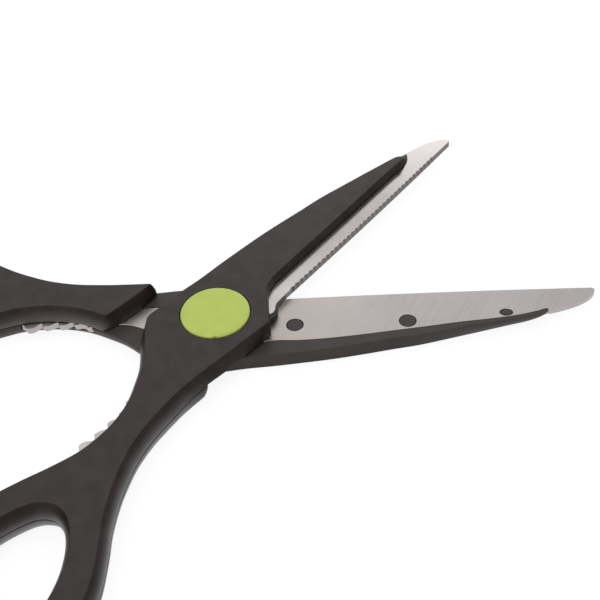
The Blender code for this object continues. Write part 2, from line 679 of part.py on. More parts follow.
def build():
    """Build the scissors at the opening that they rest in."""
    clear_scene()
    half_open = OPEN_ANGLE / 2
    upper = place_half("upper_half", Matrix.Rotation(half_open, 4, "Z"))
    turned_over = Matrix.Rotation(math.pi, 4, "X")
    lower = place_half("lower_half", Matrix.Rotation(-half_open, 4, "Z") @ turned_over)
    pivot = place_half("pivot", Matrix.Identity(4))

    upper_shifts = (0.0, 0.0)
    lower_shifts = (LOWER_INNER_SHIFT, LOWER_OUTER_SHIFT)
    build_blade("upper_blade", True, 0.0, upper)
    build_blade("lower_blade", False, LOWER_INNER_SHIFT, lower)
    upper_shell = build_outer_shell("upper_outer_shell", upper_shifts, upper)
    lower_shell = build_outer_shell("lower_outer_shell", lower_shifts, lower)
    cut_screw_side(upper_shell, upper)
    cut_nut_side(lower_shell, lower)
    build_inner_shell("upper_inner_shell", upper_shifts, upper)
    build_inner_shell("lower_inner_shell", lower_shifts, lower)
    build_cap(upper)
    build_screw(pivot)
    build_nut(pivot)
    build_bush(pivot)
    build_washer(pivot)


build()
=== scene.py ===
"""Looks of a pair of multipurpose kitchen scissors that lie open on a pale floor.

Each half is drawn in its own plan: x runs along its cutting edge to the tip, y runs
towards its spine, and z runs out from the plane where the two blades meet. A half is
then turned to its place about the pivot. All sizes are in metres.
"""
import logging
import math
from collections.abc import Sequence
from dataclasses import dataclass, field
from enum import Enum

import bmesh
import bpy
import numpy as np
from mathutils import Matrix, Vector


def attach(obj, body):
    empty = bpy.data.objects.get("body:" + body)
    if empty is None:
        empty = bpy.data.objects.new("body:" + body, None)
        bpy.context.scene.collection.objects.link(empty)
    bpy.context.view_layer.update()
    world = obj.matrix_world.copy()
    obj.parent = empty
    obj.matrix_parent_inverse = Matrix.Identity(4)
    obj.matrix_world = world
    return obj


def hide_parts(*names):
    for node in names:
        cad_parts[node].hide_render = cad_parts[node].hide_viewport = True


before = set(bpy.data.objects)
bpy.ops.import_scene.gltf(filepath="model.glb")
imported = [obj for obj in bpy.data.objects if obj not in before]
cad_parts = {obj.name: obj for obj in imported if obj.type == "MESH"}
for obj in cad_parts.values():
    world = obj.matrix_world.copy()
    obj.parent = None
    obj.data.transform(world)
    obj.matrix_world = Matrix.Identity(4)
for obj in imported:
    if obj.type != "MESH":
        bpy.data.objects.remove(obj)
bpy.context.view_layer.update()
log = logging.getLogger("scissors")

Points = list[tuple[float, float]]
Shares = Sequence[tuple[float, float]]
Colour = tuple[float, float, float]
Ring = np.ndarray
Socket = bpy.types.NodeSocket

# A fold sharper than this angle keeps its crease.
SHARP_ANGLE = math.radians(32)
# At this weight the large faces alone set the shading beside them.
FULL_WEIGHT = 100
# Keeps a direction where a wall has no flare.
HAIR = 1e-7
# Points whose heights differ by less than this lie in one plane.
SAME_HEIGHT = 1e-6
HEIGHT_DIGITS = 7


class Side(Enum):
    """Which half a piece belongs to. The value is the body that it rides on."""

    UPPER = "upper_half"
    LOWER = "lower_half"

    @property
    def prefix(self) -> str:
        """First word in the names of this half's pieces and nodes."""
        return self.name.lower()


def smooth_run(points: Sequence[Sequence[float]], steps: int, closed: bool = False) -> Ring:
    """Sample a centripetal Catmull-Rom curve through points.

    Each span between two points is blended three times over, from straight lines
    between its four nearest points to one cubic, with knots spaced by the square root
    of the points' distances. The last point of an open run is left out.

    Args:
        points: Points of the curve, each (x, y).
        steps: Samples in each span.
        closed: Whether the curve returns to its first point.

    Returns:
        Samples, one row each.
    """
    p = np.asarray(points, float)
    if closed:
        p = np.concatenate([p[-1:], p, p[:2]])
    else:
        p = np.concatenate([[2 * p[0] - p[1]], p, [2 * p[-1] - p[-2]]])
    spans = len(p) - 3
    gaps = np.sqrt(np.linalg.norm(np.diff(p, axis=0), axis=1))
    knots = np.concatenate([[0.0], np.cumsum(gaps)])
    share = np.arange(steps) / steps
    at = knots[1:spans + 1, None] + gaps[1:spans + 1, None] * share
    level = [np.repeat(p[k:k + spans, None], steps, axis=1) for k in range(4)]
    for order in (1, 2, 3):
        blended = []
        for k in range(4 - order):
            low, high = (k, k + order) if order < 3 else (1, 2)
            start = knots[low:low + spans, None]
            weight = ((at - start) / (knots[high:high + spans, None] - start))[..., None]
            blended.append(level[k] * (1 - weight) + level[k + 1] * weight)
        level = blended
    return level[0].reshape(-1, p.shape[1])


def scaled(shares: Shares, length: float, height: float, shift: float = 0.0) -> Points:
    """Points from shares of a length and a height, moved down by shift."""
    return [(x * length, y * height - shift) for x, y in shares]


def normals_of(ring: Ring) -> np.ndarray:
    """Unit normals of a closed ring: the mean of the two edges' directions at each
    point, turned a quarter turn outwards.

    Args:
        ring: Points in anticlockwise order.

    Returns:
        One normal for each point.
    """
    ahead = np.roll(ring, -1, axis=0) - ring
    ahead = ahead / np.linalg.norm(ahead, axis=1)[:, None]
    behind = np.roll(ahead, 1, axis=0)
    normal = np.stack([ahead[:, 1] + behind[:, 1], -ahead[:, 0] - behind[:, 0]], axis=1)
    return normal / np.linalg.norm(normal, axis=1)[:, None]


def circle(radius: float, count: int, centre: tuple[float, float] = (0.0, 0.0),
           squash: float = 1.0) -> Ring:
    """Circle, or an oval squashed along y: the centre plus the radius times the cosine
    and the sine of evenly spaced angles.

    Args:
        radius: Its radius.
        count: How many points it has.
        centre: Its middle.
        squash: Share of the radius that is left along y.

    Returns:
        Its points in anticlockwise order.
    """
    turn = np.linspace(0.0, 2 * math.pi, count, endpoint=False)
    return np.stack([centre[0] + radius * np.cos(turn),
                     centre[1] + radius * squash * np.sin(turn)], axis=1)


def hump(apart: np.ndarray) -> np.ndarray:
    """Raised cosine: one at nought, falling to nought at one and staying there."""
    return 0.5 + 0.5 * np.cos(np.pi * np.clip(apart, 0.0, 1.0))


def at_height(ring: Ring, height: float) -> np.ndarray:
    """A plan ring with a height added to each point."""
    return np.column_stack([ring, np.full(len(ring), height)])


def stack(*levels: tuple[Ring, float]) -> np.ndarray:
    """Rings one above another, each at its own height."""
    return np.array([at_height(ring, height) for ring, height in levels])


def turned_rings(profile: Sequence[tuple[float, float]], count: int) -> np.ndarray:
    """Circles about the pivot, one for each radius and height of a profile."""
    return stack(*((circle(radius, count), height) for radius, height in profile))


def broken_wall(inner: Ring, outer: Ring, low: float, high: float, bevel: float,
                way: float = 1.0) -> np.ndarray:
    """Upright wall whose two corners are cut off by a small bevel.

    Args:
        inner: Ring at the low end.
        outer: Ring at the high end.
        low: Height of the low end.
        high: Height of the high end.
        bevel: Width of both bevels.
        way: One where the bevels draw the rings in, minus one where they widen them.

    Returns:
        Array of level, point and (x, y, z).
    """
    step = way * bevel
    return stack((inner - normals_of(inner) * step, low), (inner, low + bevel),
                 (outer, high - bevel), (outer - normals_of(outer) * step, high))


@dataclass(frozen=True)
class Plan:
    """Sizes and outlines that both halves share, in the plan of one half.

    The outlines are tables of shares, of a reach along x and of a reach, rise or drop
    along y. Steps, levels and spans count points, and a span lies between two points
    of a table.
    """

    blade_reach: float = 0.110
    edge_drop: float = 0.010
    plate_thickness: float = 0.0020
    cover_thickness: float = 0.00265
    blade_gap: float = 0.0003
    fit_gap: float = 0.00025
    running_gap: float = 0.0002
    half_open: float = math.radians(26.25)
    cover_rise: float = 0.0131
    spine_rise: float = 0.0069
    hub_reach: float = 0.0155
    handle_reach: float = 0.1220
    handle_drop: float = 0.0450
    handle_flare: float = 0.0019
    hub_flare: float = 0.0012
    cover_draft: float = 0.0007
    nose_flare: float = 0.0010
    shoulder_bow: float = 0.0013
    lower_inner_shift: float = 0.0010
    lower_outer_shift: float = 0.0020
    loop_inset: float = 0.0002
    rim_round: float = 0.00030
    parting_round: float = 0.00012
    outline_steps: int = 8
    fade_spans: int = 2
    corner_fade_spans: int = 1
    nose_fade_spans: int = 3
    dent_share: float = 0.18
    dent_start_share: float = 0.4
    dent_spans: int = 1
    shoulder_steps: int = 20
    foot_steps: int = 2
    wall_levels: int = 12
    rim_steps: int = 4
    cover_spine: Shares = (
        (0.808, -0.140), (0.798, -0.114), (0.786, -0.087), (0.751, -0.010), (0.677, 0.155),
        (0.604, 0.313), (0.530, 0.466), (0.454, 0.58), (0.380, 0.695), (0.303, 0.80),
        (0.227, 0.878), (0.151, 0.947), (0.076, 1.0))
    hub_back: Shares = (
        (0.045, 0.916), (-0.200, 0.942), (-0.458, 0.961), (-0.740, 0.985),
        (-0.830, 0.960))
    neck: Shares = (
        (-0.122, 0.298), (-0.145, 0.243), (-0.171, 0.180), (-0.195, 0.122),
        (-0.221, 0.070))
    inner_edge: Shares = (
        (-0.258, 0.014), (-0.298, -0.040), (-0.338, -0.077), (-0.382, -0.098),
        (-0.428, -0.101), (-0.478, -0.086), (-0.542, -0.030))
    loop: Shares = (
        (-0.608, 0.040), (-0.688, 0.110), (-0.774, 0.145), (-0.864, 0.125),
        (-0.943, 0.020), (-0.994, -0.180), (-0.999, -0.430), (-0.958, -0.650),
        (-0.885, -0.790), (-0.793, -0.835), (-0.706, -0.770), (-0.630, -0.640))
    outer_edge: Shares = (
        (-0.570, -0.520), (-0.507, -0.418), (-0.464, -0.363), (-0.417, -0.313),
        (-0.373, -0.282), (-0.333, -0.264), (-0.295, -0.256), (-0.261, -0.251),
        (-0.228, -0.250))
    hub_side: Shares = ((-0.160, -0.262), (-0.103, -0.284), (-0.041, -0.302), (0.017, -0.320))
    hub_front: Shares = ((0.400, -0.974), (0.548, -0.815), (0.920, -0.472), (1.072, -0.362))
    cover_wall: Shares = ((0.190, -0.325), (0.227, -0.320), (0.500, -0.323), (0.770, -0.320))
    nose: Shares = ((0.800, -0.335), (0.816, -0.290), (0.820, -0.220))
    nose_base: Shares = ((0.826, -0.375), (0.849, -0.330), (0.868, -0.250), (0.886, -0.165))
    spine_base: Shares = ((0.886, -0.165), (0.871, -0.185), (0.864, -0.070), (0.797, 0.080),
                          (0.688, 0.240))
    finger_hole: Shares = (
        (-0.600, -0.247), (-0.621, -0.140), (-0.671, -0.068), (-0.747, -0.018),
        (-0.832, -0.008), (-0.900, -0.075), (-0.941, -0.240), (-0.936, -0.450),
        (-0.885, -0.610), (-0.803, -0.662), (-0.716, -0.602), (-0.643, -0.475),
        (-0.608, -0.357))

    @property
    def half_thickness(self) -> float:
        """Height of a half's outer face above the blades' plane."""
        return self.inner_face + self.plate_thickness + self.fit_gap + self.cover_thickness

    @property
    def inner_face(self) -> float:
        """Height of a plate's and an outer shell's inner face."""
        return self.blade_gap / 2

    @property
    def plate_top(self) -> float:
        """Height of a plate's outer face."""
        return self.inner_face + self.plate_thickness

    @property
    def pocket_floor(self) -> float:
        """Height of the shell's face over the plate."""
        return self.plate_top + self.fit_gap

    def shifts(self, side: Side) -> tuple[float, float]:
        """How much further out a handle's inner and outer sides lie than the upper's."""
        lower = self.lower_inner_shift, self.lower_outer_shift
        return lower if side is Side.LOWER else (0.0, 0.0)

    def angle(self, side: Side) -> float:
        """Angle of a half's cutting edge about the pivot."""
        return self.half_open if side is Side.UPPER else -self.half_open

    def matrix(self, side: Side) -> Matrix:
        """Turn from a half's plan to its place in the open scissors.

        Args:
            side: The half. The lower one is turned over first.

        Returns:
            The turn, with the lift of the blades' plane above the floor.
        """
        lift = Matrix.Translation((0.0, 0.0, self.half_thickness))
        turn = Matrix.Rotation(self.angle(side), 4, "Z")
        if side is Side.LOWER:
            turn = turn @ Matrix.Rotation(math.pi, 4, "X")
        return lift @ turn

    @property
    def low_spine_points(self) -> int:
        """How many points of the outline the low outline of the spine takes up."""
        return self.outline_steps * (len(self.spine_base) - 1) + 1

    def outline_runs(self, side: Side) -> list[Points]:
        """Runs of the moulded half's outline at its outer face, anticlockwise.

        Each run ends at the next one's first point, with a corner between the two.

        Args:
            side: The half.

        Returns:
            The cover's spine with the hub's back, the handle with the hub's side, the
            hub's front, the cover's wall and its nose.
        """
        inner, outer = self.shifts(side)
        reach, drop = self.handle_reach, self.handle_drop
        spine = scaled(self.cover_spine, self.blade_reach, self.cover_rise)
        back = scaled(self.hub_back, self.hub_reach, self.hub_reach)
        handle = scaled(self.neck + self.inner_edge, reach, drop, inner)
        handle += scaled(self.loop, reach - self.loop_inset, drop, (inner + outer) / 2)
        handle += scaled(self.outer_edge, reach, drop, outer)
        hub = np.array(scaled(self.hub_side, reach, drop))
        hub[:, 1] -= np.linspace((inner + outer) / 2, 0.0, len(hub), endpoint=False)
        front = scaled(self.hub_front, self.hub_reach, self.hub_reach)
        wall = scaled(self.cover_wall, self.blade_reach, self.cover_rise)
        nose = scaled(self.nose, self.blade_reach, self.cover_rise)
        return [spine + back, back[-1:] + handle + hub.tolist() + front[:1],
                front + wall[:1], wall + nose[:1], nose + spine[:1]]

    def flare(self, starts: Sequence[int], first: int, last: int) -> np.ndarray:
        """How far the wall's foot lies outside the outer face.

        It is full on the handle, less on the hub and slight along the cover, with
        straight fades between them.

        Args:
            starts: Where the outline's runs start and, last, how many points it has.
            first: Where the shoulder wall meets the handle's inner side. Not used.
            last: Where it meets the handle's outer side.

        Returns:
            The flare at each point of the outline.
        """
        _, handle, wall, _, nose, count = starts
        ramp = self.fade_spans * self.outline_steps
        corner = self.corner_fade_spans * self.outline_steps
        nose_ramp = self.nose_fade_spans * self.outline_steps
        spine = self.low_spine_points
        fade = np.linspace(0.0, 1.0, ramp + 1)[1:]
        flare = np.zeros(count)
        flare[handle:last] = self.handle_flare
        flare[last:wall] = self.hub_flare
        flare[wall:nose] = self.cover_draft
        flare[handle:handle + ramp] *= fade
        flare[last - ramp:last] = np.linspace(self.handle_flare, self.hub_flare, ramp)
        flare[wall - corner:wall] *= np.linspace(1.0, 0.0, corner, endpoint=False)
        flare[wall:wall + ramp] *= fade
        flare[spine:spine + nose_ramp] = self.nose_flare * np.linspace(1.0, 0.0, nose_ramp)
        return flare

    def shell_rings(self, side: Side) -> tuple[Ring, Ring, int, int]:
        """Outline of the moulded half at its outer face and at the blades' plane.

        The lower ring is the upper one moved out along its normals by the flare. The
        cover's nose has its own low outline. Where the shoulder wall meets the handle's
        sides, the flare runs in line with the wall.

        Args:
            side: The half.

        Returns:
            Both rings, and the two places where the shoulder wall meets them.
        """
        steps = self.outline_steps
        parts = [smooth_run(run, steps) for run in self.outline_runs(side)]
        starts = np.cumsum([0] + [len(part) for part in parts])
        first = starts[1] + steps * (1 + len(self.neck))
        last = first + steps * len(self.inner_edge + self.loop + self.outer_edge)
        top = np.concatenate(parts)
        base = top + normals_of(top) * self.flare(starts, first, last)[:, None]
        low_nose = scaled(self.nose_base, self.blade_reach, self.cover_rise)
        base[-len(parts[-1]):] = smooth_run(low_nose, steps)
        low_spine = scaled(self.spine_base, self.blade_reach, self.cover_rise)
        base[:self.low_spine_points] = [*smooth_run(low_spine, steps), low_spine[-1]]
        along = top[last] - top[first]
        along = along / np.linalg.norm(along)
        for index, way in ((first, -along), (last, along)):
            step = base[index] - top[index]
            length = np.dot(step, step) / max(np.dot(step, way), np.linalg.norm(step) / 2)
            base[index] = top[index] + way * length
        return top, base, first, last

    def nose_dent(self, count: int) -> np.ndarray:
        """How far the cover's end is stepped back at each point of its outline.

        It is full at the corner of nose and spine. Along the nose, and along a short
        stretch of the spine, it falls to nought as a raised cosine.

        Args:
            count: Points on the outline.

        Returns:
            Share of the flare that is taken away where the dent is deepest.
        """
        index = np.arange(count)
        back = (count - index) / (self.outline_steps * len(self.nose))
        ahead = index / (self.outline_steps * self.dent_spans)
        return self.dent_share * hump(np.minimum(back, ahead))

    def shoulder_wall(self, top: Ring, base: Ring) -> tuple[Ring, Ring]:
        """Points of the wall that closes the inner half's open rings.

        The wall is straight at the outer face. Its foot bows out by one minus the
        fourth power of the distance from its middle.

        Args:
            top: Open ring at the outer face.
            base: Open ring at the blades' plane.

        Returns:
            Points from each ring's last point to its first, without those two.
        """
        share = np.linspace(0.0, 1.0, self.shoulder_steps + 1)[1:-1, None]
        across = top[0] - top[-1]
        out = np.array([across[1], -across[0]]) / np.linalg.norm(across)
        bow = self.shoulder_bow * (1.0 - (2.0 * share - 1.0) ** 4)
        return top[-1] + across * share, base[-1] + (base[0] - base[-1]) * share + out * bow

    def hole_rings(self, side: Side) -> tuple[Ring, Ring]:
        """Outlines of the finger hole.

        Args:
            side: The half.

        Returns:
            The ring at the outer face, and the same ring drawn in by the flare at the
            blades' plane.
        """
        shift = sum(self.shifts(side)) / 2
        points = scaled(self.finger_hole, self.handle_reach, self.handle_drop, shift)
        top = smooth_run(points, self.outline_steps, closed=True)
        return top, top - normals_of(top) * self.handle_flare

    def side_levels(self, top: Ring, base: Ring, low: float, high: float,
                    dent: np.ndarray | float = 0.0) -> np.ndarray:
        """Side wall of a moulding from the blades' plane to its outer face.

        The wall leans in from the base ring to the top ring along a parabola: at a share
        s of the height it has one minus s squared of the flare left. A dent takes away
        its own share more, times a sine squared that rises from the dent's start and is
        nought again at the outer face. Where the wall would meet the outer face, a
        circular arc of the rim's radius is tangent to both. A smaller quarter circle
        rounds its foot.

        Args:
            top: Outline at the outer face.
            base: Outline at the blades' plane.
            low: Height of the base ring.
            high: Height of the outer face, which may lie below the base ring.
            dent: Share of the flare that the dent takes away at each point.

        Returns:
            Array of level, point and (x, y, z).
        """
        rim, foot = self.rim_round, self.parting_round
        rise = high - low
        way = math.copysign(1.0, rise)
        step = base - top
        flare = np.linalg.norm(step, axis=1)
        sign = 1.0 if np.sum(step * normals_of(top)) >= 0 else -1.0
        out = step + sign * normals_of(top) * HAIR
        out = out / np.linalg.norm(out, axis=1)[:, None]
        lean = np.arctan2(2 * flare, abs(rise))
        tangent = rim * np.tan(math.pi / 4 - lean / 2)
        levels = []
        for turn in np.linspace(0.0, math.pi / 2, self.foot_steps + 1)[:-1]:
            ring = base - out * foot * (1 - math.sin(turn))
            levels.append(at_height(ring, low + way * foot * (1 - math.cos(turn))))
        start = foot / abs(rise)
        end = 1 - tangent * np.cos(lean) / abs(rise)
        for share in np.linspace(0.0, 1.0, self.wall_levels):
            s = start + (end - start) * share
            inside = np.clip((s - self.dent_start_share) / (1 - self.dent_start_share), 0.0, 1.0)
            hollow = dent * np.sin(np.pi * inside) ** 2
            ring = top + step * (1 - s ** 2 - hollow)[:, None]
            levels.append(np.column_stack([ring, low + rise * s]))
        for share in np.linspace(0.0, 1.0, self.rim_steps + 1)[1:]:
            turn = lean + (math.pi / 2 - lean) * share
            ring = top + out * (rim * np.cos(turn) - tangent)[:, None]
            levels.append(np.column_stack([ring, high - way * rim * (1 - np.sin(turn))]))
        return np.array(levels)


@dataclass
class Body:
    """Vertices and faces of a piece while it is put together."""

    verts: list[np.ndarray] = field(default_factory=list)
    quads: list[np.ndarray] = field(default_factory=list)
    count: int = 0

    def loft(self, levels: np.ndarray) -> None:
        """Join rings of points level by level with quads.

        Args:
            levels: Array of level, point and (x, y, z). Each ring is closed.
        """
        rows, cols = levels.shape[:2]
        index = self.count + np.arange(rows * cols).reshape(rows, cols)
        low, high = index[:-1], index[1:]
        quads = np.stack([low, np.roll(low, -1, 1), np.roll(high, -1, 1), high], axis=-1)
        self.verts.append(levels.reshape(-1, 3))
        self.quads.append(quads.reshape(-1, 4))
        self.count += rows * cols

    def mesh(self, name: str, matrix: Matrix) -> bpy.types.Mesh:
        """Make the mesh, close its open ends with flat faces and turn it into place.

        Args:
            name: The mesh's name.
            matrix: Turn from the plan to the place.

        Returns:
            The closed mesh, with its faces outwards.
        """
        mesh = bpy.data.meshes.new(name)
        mesh.from_pydata(np.concatenate(self.verts).tolist(), [],
                         np.concatenate(self.quads).tolist())
        bm = bmesh.new()
        bm.from_mesh(mesh)
        open_edges = [e for e in bm.edges if e.is_boundary]
        heights = {round(e.verts[0].co.z, HEIGHT_DIGITS) for e in open_edges}
        for height in sorted(heights):
            level = [e for e in open_edges if abs(e.verts[0].co.z - height) < SAME_HEIGHT]
            bmesh.ops.triangle_fill(bm, use_beauty=True, edges=level)
        bmesh.ops.recalc_face_normals(bm, faces=bm.faces[:])
        bm.transform(matrix)
        bm.to_mesh(mesh)
        bm.free()
        return mesh


def linked(name: str, data: bpy.types.ID) -> bpy.types.Object:
    """Put data into the scene.

    Args:
        name: The object's name.
        data: Its mesh, lamp or camera.

    Returns:
        The new object.
    """
    obj = bpy.data.objects.new(name, data)
    bpy.context.scene.collection.objects.link(obj)
    return obj


def dress(mesh: bpy.types.Mesh, material: bpy.types.Material) -> None:
    """Give a mesh one finish."""
    mesh.materials.clear()
    mesh.materials.append(material)


def finished(name: str, mesh: bpy.types.Mesh, side: Side, node: str,
             material: bpy.types.Material) -> bpy.types.Object:
    """Shade a mesh smooth, give it its finish and set it on its body.

    Each face stores how level it lies: the size of its normal's height.

    Args:
        name: The piece's name.
        mesh: Its mesh, already in place.
        side: The half that it rides on.
        node: The carried node that it stands for.
        material: Its finish.

    Returns:
        The new object.
    """
    obj = linked(name, mesh)
    dress(mesh, material)
    mesh.shade_smooth()
    mesh.set_sharp_from_angle(angle=SHARP_ANGLE)
    normals = np.empty(3 * len(mesh.polygons), np.float32)
    mesh.polygons.foreach_get("normal", normals)
    level = mesh.attributes.new("level", "FLOAT", "FACE")
    level.data.foreach_set("value", np.abs(normals[2::3]))
    weighted = obj.modifiers.new("weighted", "WEIGHTED_NORMAL")
    weighted.keep_sharp = True
    weighted.weight = FULL_WEIGHT
    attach(obj, side.value)
    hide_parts(node)
    return obj


def cut(mesh: bpy.types.Mesh, added: list[bpy.types.Mesh],
        cutters: list[bpy.types.Mesh]) -> bpy.types.Mesh:
    """Join bodies onto a mesh and cut others out of it.

    Args:
        mesh: The mesh to change.
        added: Closed meshes that are joined on first.
        cutters: Closed meshes that are then taken away.

    Returns:
        A new mesh.
    """
    work = linked("work", mesh)
    helpers = []
    jobs = [("UNION", m) for m in added] + [("DIFFERENCE", m) for m in cutters]
    for operation, other in jobs:
        helper = linked("helper", other)
        modifier = work.modifiers.new("cut", "BOOLEAN")
        modifier.operation = operation
        modifier.solver = "EXACT"
        modifier.object = helper
        helpers.append(helper)
    depsgraph = bpy.context.evaluated_depsgraph_get()
    made = bpy.data.meshes.new_from_object(work.evaluated_get(depsgraph))
    for obj in [work, *helpers]:
        bpy.data.objects.remove(obj)
    return made


def block(ring: Ring, low: float, high: float, matrix: Matrix) -> bpy.types.Mesh:
    """Plain closed body with upright sides, for cutting or joining.

    Args:
        ring: Its outline.
        low: Height of its underside.
        high: Height of its top.
        matrix: Turn from the plan to the place.

    Returns:
        Its mesh.
    """
    body = Body()
    body.loft(stack((ring, low), (ring, high)))
    return body.mesh("block", matrix)


class Wire:
    """A shader socket that can be used in arithmetic. Each operator adds a Math node."""

    def __init__(self, kit: "Paint", socket: Socket) -> None:
        """Wrap an output socket of a paint's node tree."""
        self.kit = kit
        self.socket = socket

    def _math(self, operation: str, first: "Wire | float", second: "Wire | float") -> "Wire":
        """Result of a Math node for an operation on two values."""
        node = self.kit.add("ShaderNodeMath", {"operation": operation}, {0: first, 1: second})
        return Wire(self.kit, node.outputs[0])

    def __add__(self, other: "Wire | float") -> "Wire":
        """Sum."""
        return self._math("ADD", self, other)

    __radd__ = __add__

    def __mul__(self, other: "Wire | float") -> "Wire":
        """Product."""
        return self._math("MULTIPLY", self, other)

    __rmul__ = __mul__

    def __sub__(self, other: "Wire | float") -> "Wire":
        """Difference."""
        return self._math("SUBTRACT", self, other)

    def __rsub__(self, other: "Wire | float") -> "Wire":
        """Difference from a number."""
        return self._math("SUBTRACT", other, self)

    def __neg__(self) -> "Wire":
        """The value with its sign turned."""
        return -1.0 * self

    def __pow__(self, other: "Wire | float") -> "Wire":
        """Power."""
        return self._math("POWER", self, other)

    def least(self, other: "Wire | float") -> "Wire":
        """The smaller of two values."""
        return self._math("MINIMUM", self, other)

    def most(self, other: "Wire | float") -> "Wire":
        """The larger of two values."""
        return self._math("MAXIMUM", self, other)

    def swing(self, amount: float) -> "Wire":
        """A noise's departure from one half, times an amount."""
        return amount * (self - 0.5)

    def ramp(self, low: float, high: float) -> "Wire":
        """Smooth rise from nought to one.

        Args:
            low: Value at and below which it is nought.
            high: Value at and above which it is one.

        Returns:
            The risen value.
        """
        node = self.kit.add("ShaderNodeMapRange", {"interpolation_type": "SMOOTHSTEP"},
                            {"Value": self, "From Min": low, "From Max": high})
        return Wire(self.kit, node.outputs["Result"])


class Paint:
    """Builds the node tree of a material or a world."""

    def __init__(self, owner: bpy.types.Material | bpy.types.World) -> None:
        """Start with an empty tree.

        Args:
            owner: The material or world that gets the tree.
        """
        owner.use_nodes = True
        self.owner = owner
        self.tree = owner.node_tree
        self.tree.nodes.clear()

    def feed(self, target: Socket, value: "Wire | Socket | float | Sequence[float]") -> None:
        """Link a socket, or set a constant on it.

        Args:
            target: The input socket.
            value: What it gets. A colour may have three values.
        """
        if isinstance(value, Wire):
            value = value.socket
        if isinstance(value, Socket):
            self.tree.links.new(value, target)
        elif target.type == "RGBA" and len(value) == 3:
            target.default_value = (*value, 1.0)
        else:
            target.default_value = value

    def add(self, kind: str, settings: dict[str, object] | None = None,
            inputs: dict[str | int, object] | None = None) -> bpy.types.Node:
        """Add a node.

        Args:
            kind: The node's type.
            settings: Its own settings.
            inputs: Values or links for its sockets, by name or place.

        Returns:
            The node.
        """
        node = self.tree.nodes.new(kind)
        for key, value in (settings or {}).items():
            setattr(node, key, value)
        for key, value in (inputs or {}).items():
            self.feed(node.inputs[key], value)
        return node

    def place(self, turn: float = 0.0, stretch: Sequence[float] = (1.0, 1.0, 1.0)) -> Socket:
        """Place on the piece in Object coordinates.

        Args:
            turn: Angle by which it is turned about z.
            stretch: What each axis is multiplied by after the turn.

        Returns:
            The vector.
        """
        source = self.add("ShaderNodeTexCoord").outputs["Object"]
        turned = self.add("ShaderNodeMapping", None,
                          {"Vector": source, "Rotation": (0.0, 0.0, turn)})
        grown = self.add("ShaderNodeVectorMath", {"operation": "MULTIPLY"},
                         {0: turned.outputs[0], 1: stretch})
        return grown.outputs[0]

    def axes(self, vector: Socket) -> tuple[Wire, Wire, Wire]:
        """Split a vector into its three values."""
        node = self.add("ShaderNodeSeparateXYZ", None, {0: vector})
        return tuple(Wire(self, out) for out in node.outputs)

    def off_axis(self, vector: Socket) -> Wire:
        """Distance of a place from the pivot's axis."""
        x, y, _ = self.axes(vector)
        return (x * x + y * y) ** 0.5

    def noise(self, vector: Socket, scale: float, detail: float = 2.0,
              roughness: float = 0.5) -> Wire:
        """Soft noise about one half.

        Args:
            vector: The place.
            scale: Waves in a metre.
            detail: How many finer noises are added.
            roughness: How strong the finer ones are.

        Returns:
            The noise's value.
        """
        node = self.add("ShaderNodeTexNoise", None, {
            "Vector": vector, "Scale": scale, "Detail": detail, "Roughness": roughness})
        return Wire(self, node.outputs["Fac"])

    def blend(self, share: Wire, first: Socket | Colour, second: Socket | Colour) -> Socket:
        """Mix two colours.

        Args:
            share: How much of the second colour there is.
            first: The first colour.
            second: The second colour.

        Returns:
            The mixed colour.
        """
        # A Mix node has its colours at places 6 and 7, and the mixed one at 2.
        node = self.add("ShaderNodeMix", {"data_type": "RGBA", "clamp_factor": True},
                        {0: share, 6: first, 7: second})
        return node.outputs[2]

    def attribute(self, name: str) -> Wire:
        """A value stored on the piece's mesh."""
        node = self.add("ShaderNodeAttribute", {"attribute_name": name})
        return Wire(self, node.outputs["Fac"])

    def bump(self, height: Wire, depth: float) -> Socket:
        """Normal of a surface that a height pattern roughens by a depth in metres."""
        node = self.add("ShaderNodeBump", None, {"Height": height, "Distance": depth})
        return node.outputs["Normal"]

    def seen(self) -> Wire:
        """Tell the rays of the picture from those of the light.

        Returns:
            One where a ray comes from the camera, a mirror or glass, else nought.
        """
        path = self.add("ShaderNodeLightPath")
        camera, mirror, glass = (Wire(self, path.outputs[f"Is {kind} Ray"])
                                 for kind in ("Camera", "Glossy", "Transmission"))
        return camera.most(mirror).most(glass)

    def split(self, lit: bpy.types.Node, shown: bpy.types.Node) -> Socket:
        """Use one shader for the light and another for the picture.

        Args:
            lit: The shader that lights the scissors.
            shown: The shader that the camera sees.

        Returns:
            Both as one shader.
        """
        mixed = self.add("ShaderNodeMixShader", None,
                         {0: self.seen(), 1: lit.outputs[0], 2: shown.outputs[0]})
        return mixed.outputs[0]

    def show(self, kind: str, surface: Socket) -> None:
        """Send a shader to an output node of the tree's kind."""
        self.add("ShaderNodeOutput" + kind, None, {"Surface": surface})

    def finish(self, inputs: dict[str, object]) -> bpy.types.Material:
        """Give the material one Principled shader.

        Args:
            inputs: Values or links for the shader's sockets, by name.

        Returns:
            The finished material.
        """
        shader = self.add("ShaderNodeBsdfPrincipled", None, inputs)
        self.show("Material", shader.outputs[0])
        return self.owner


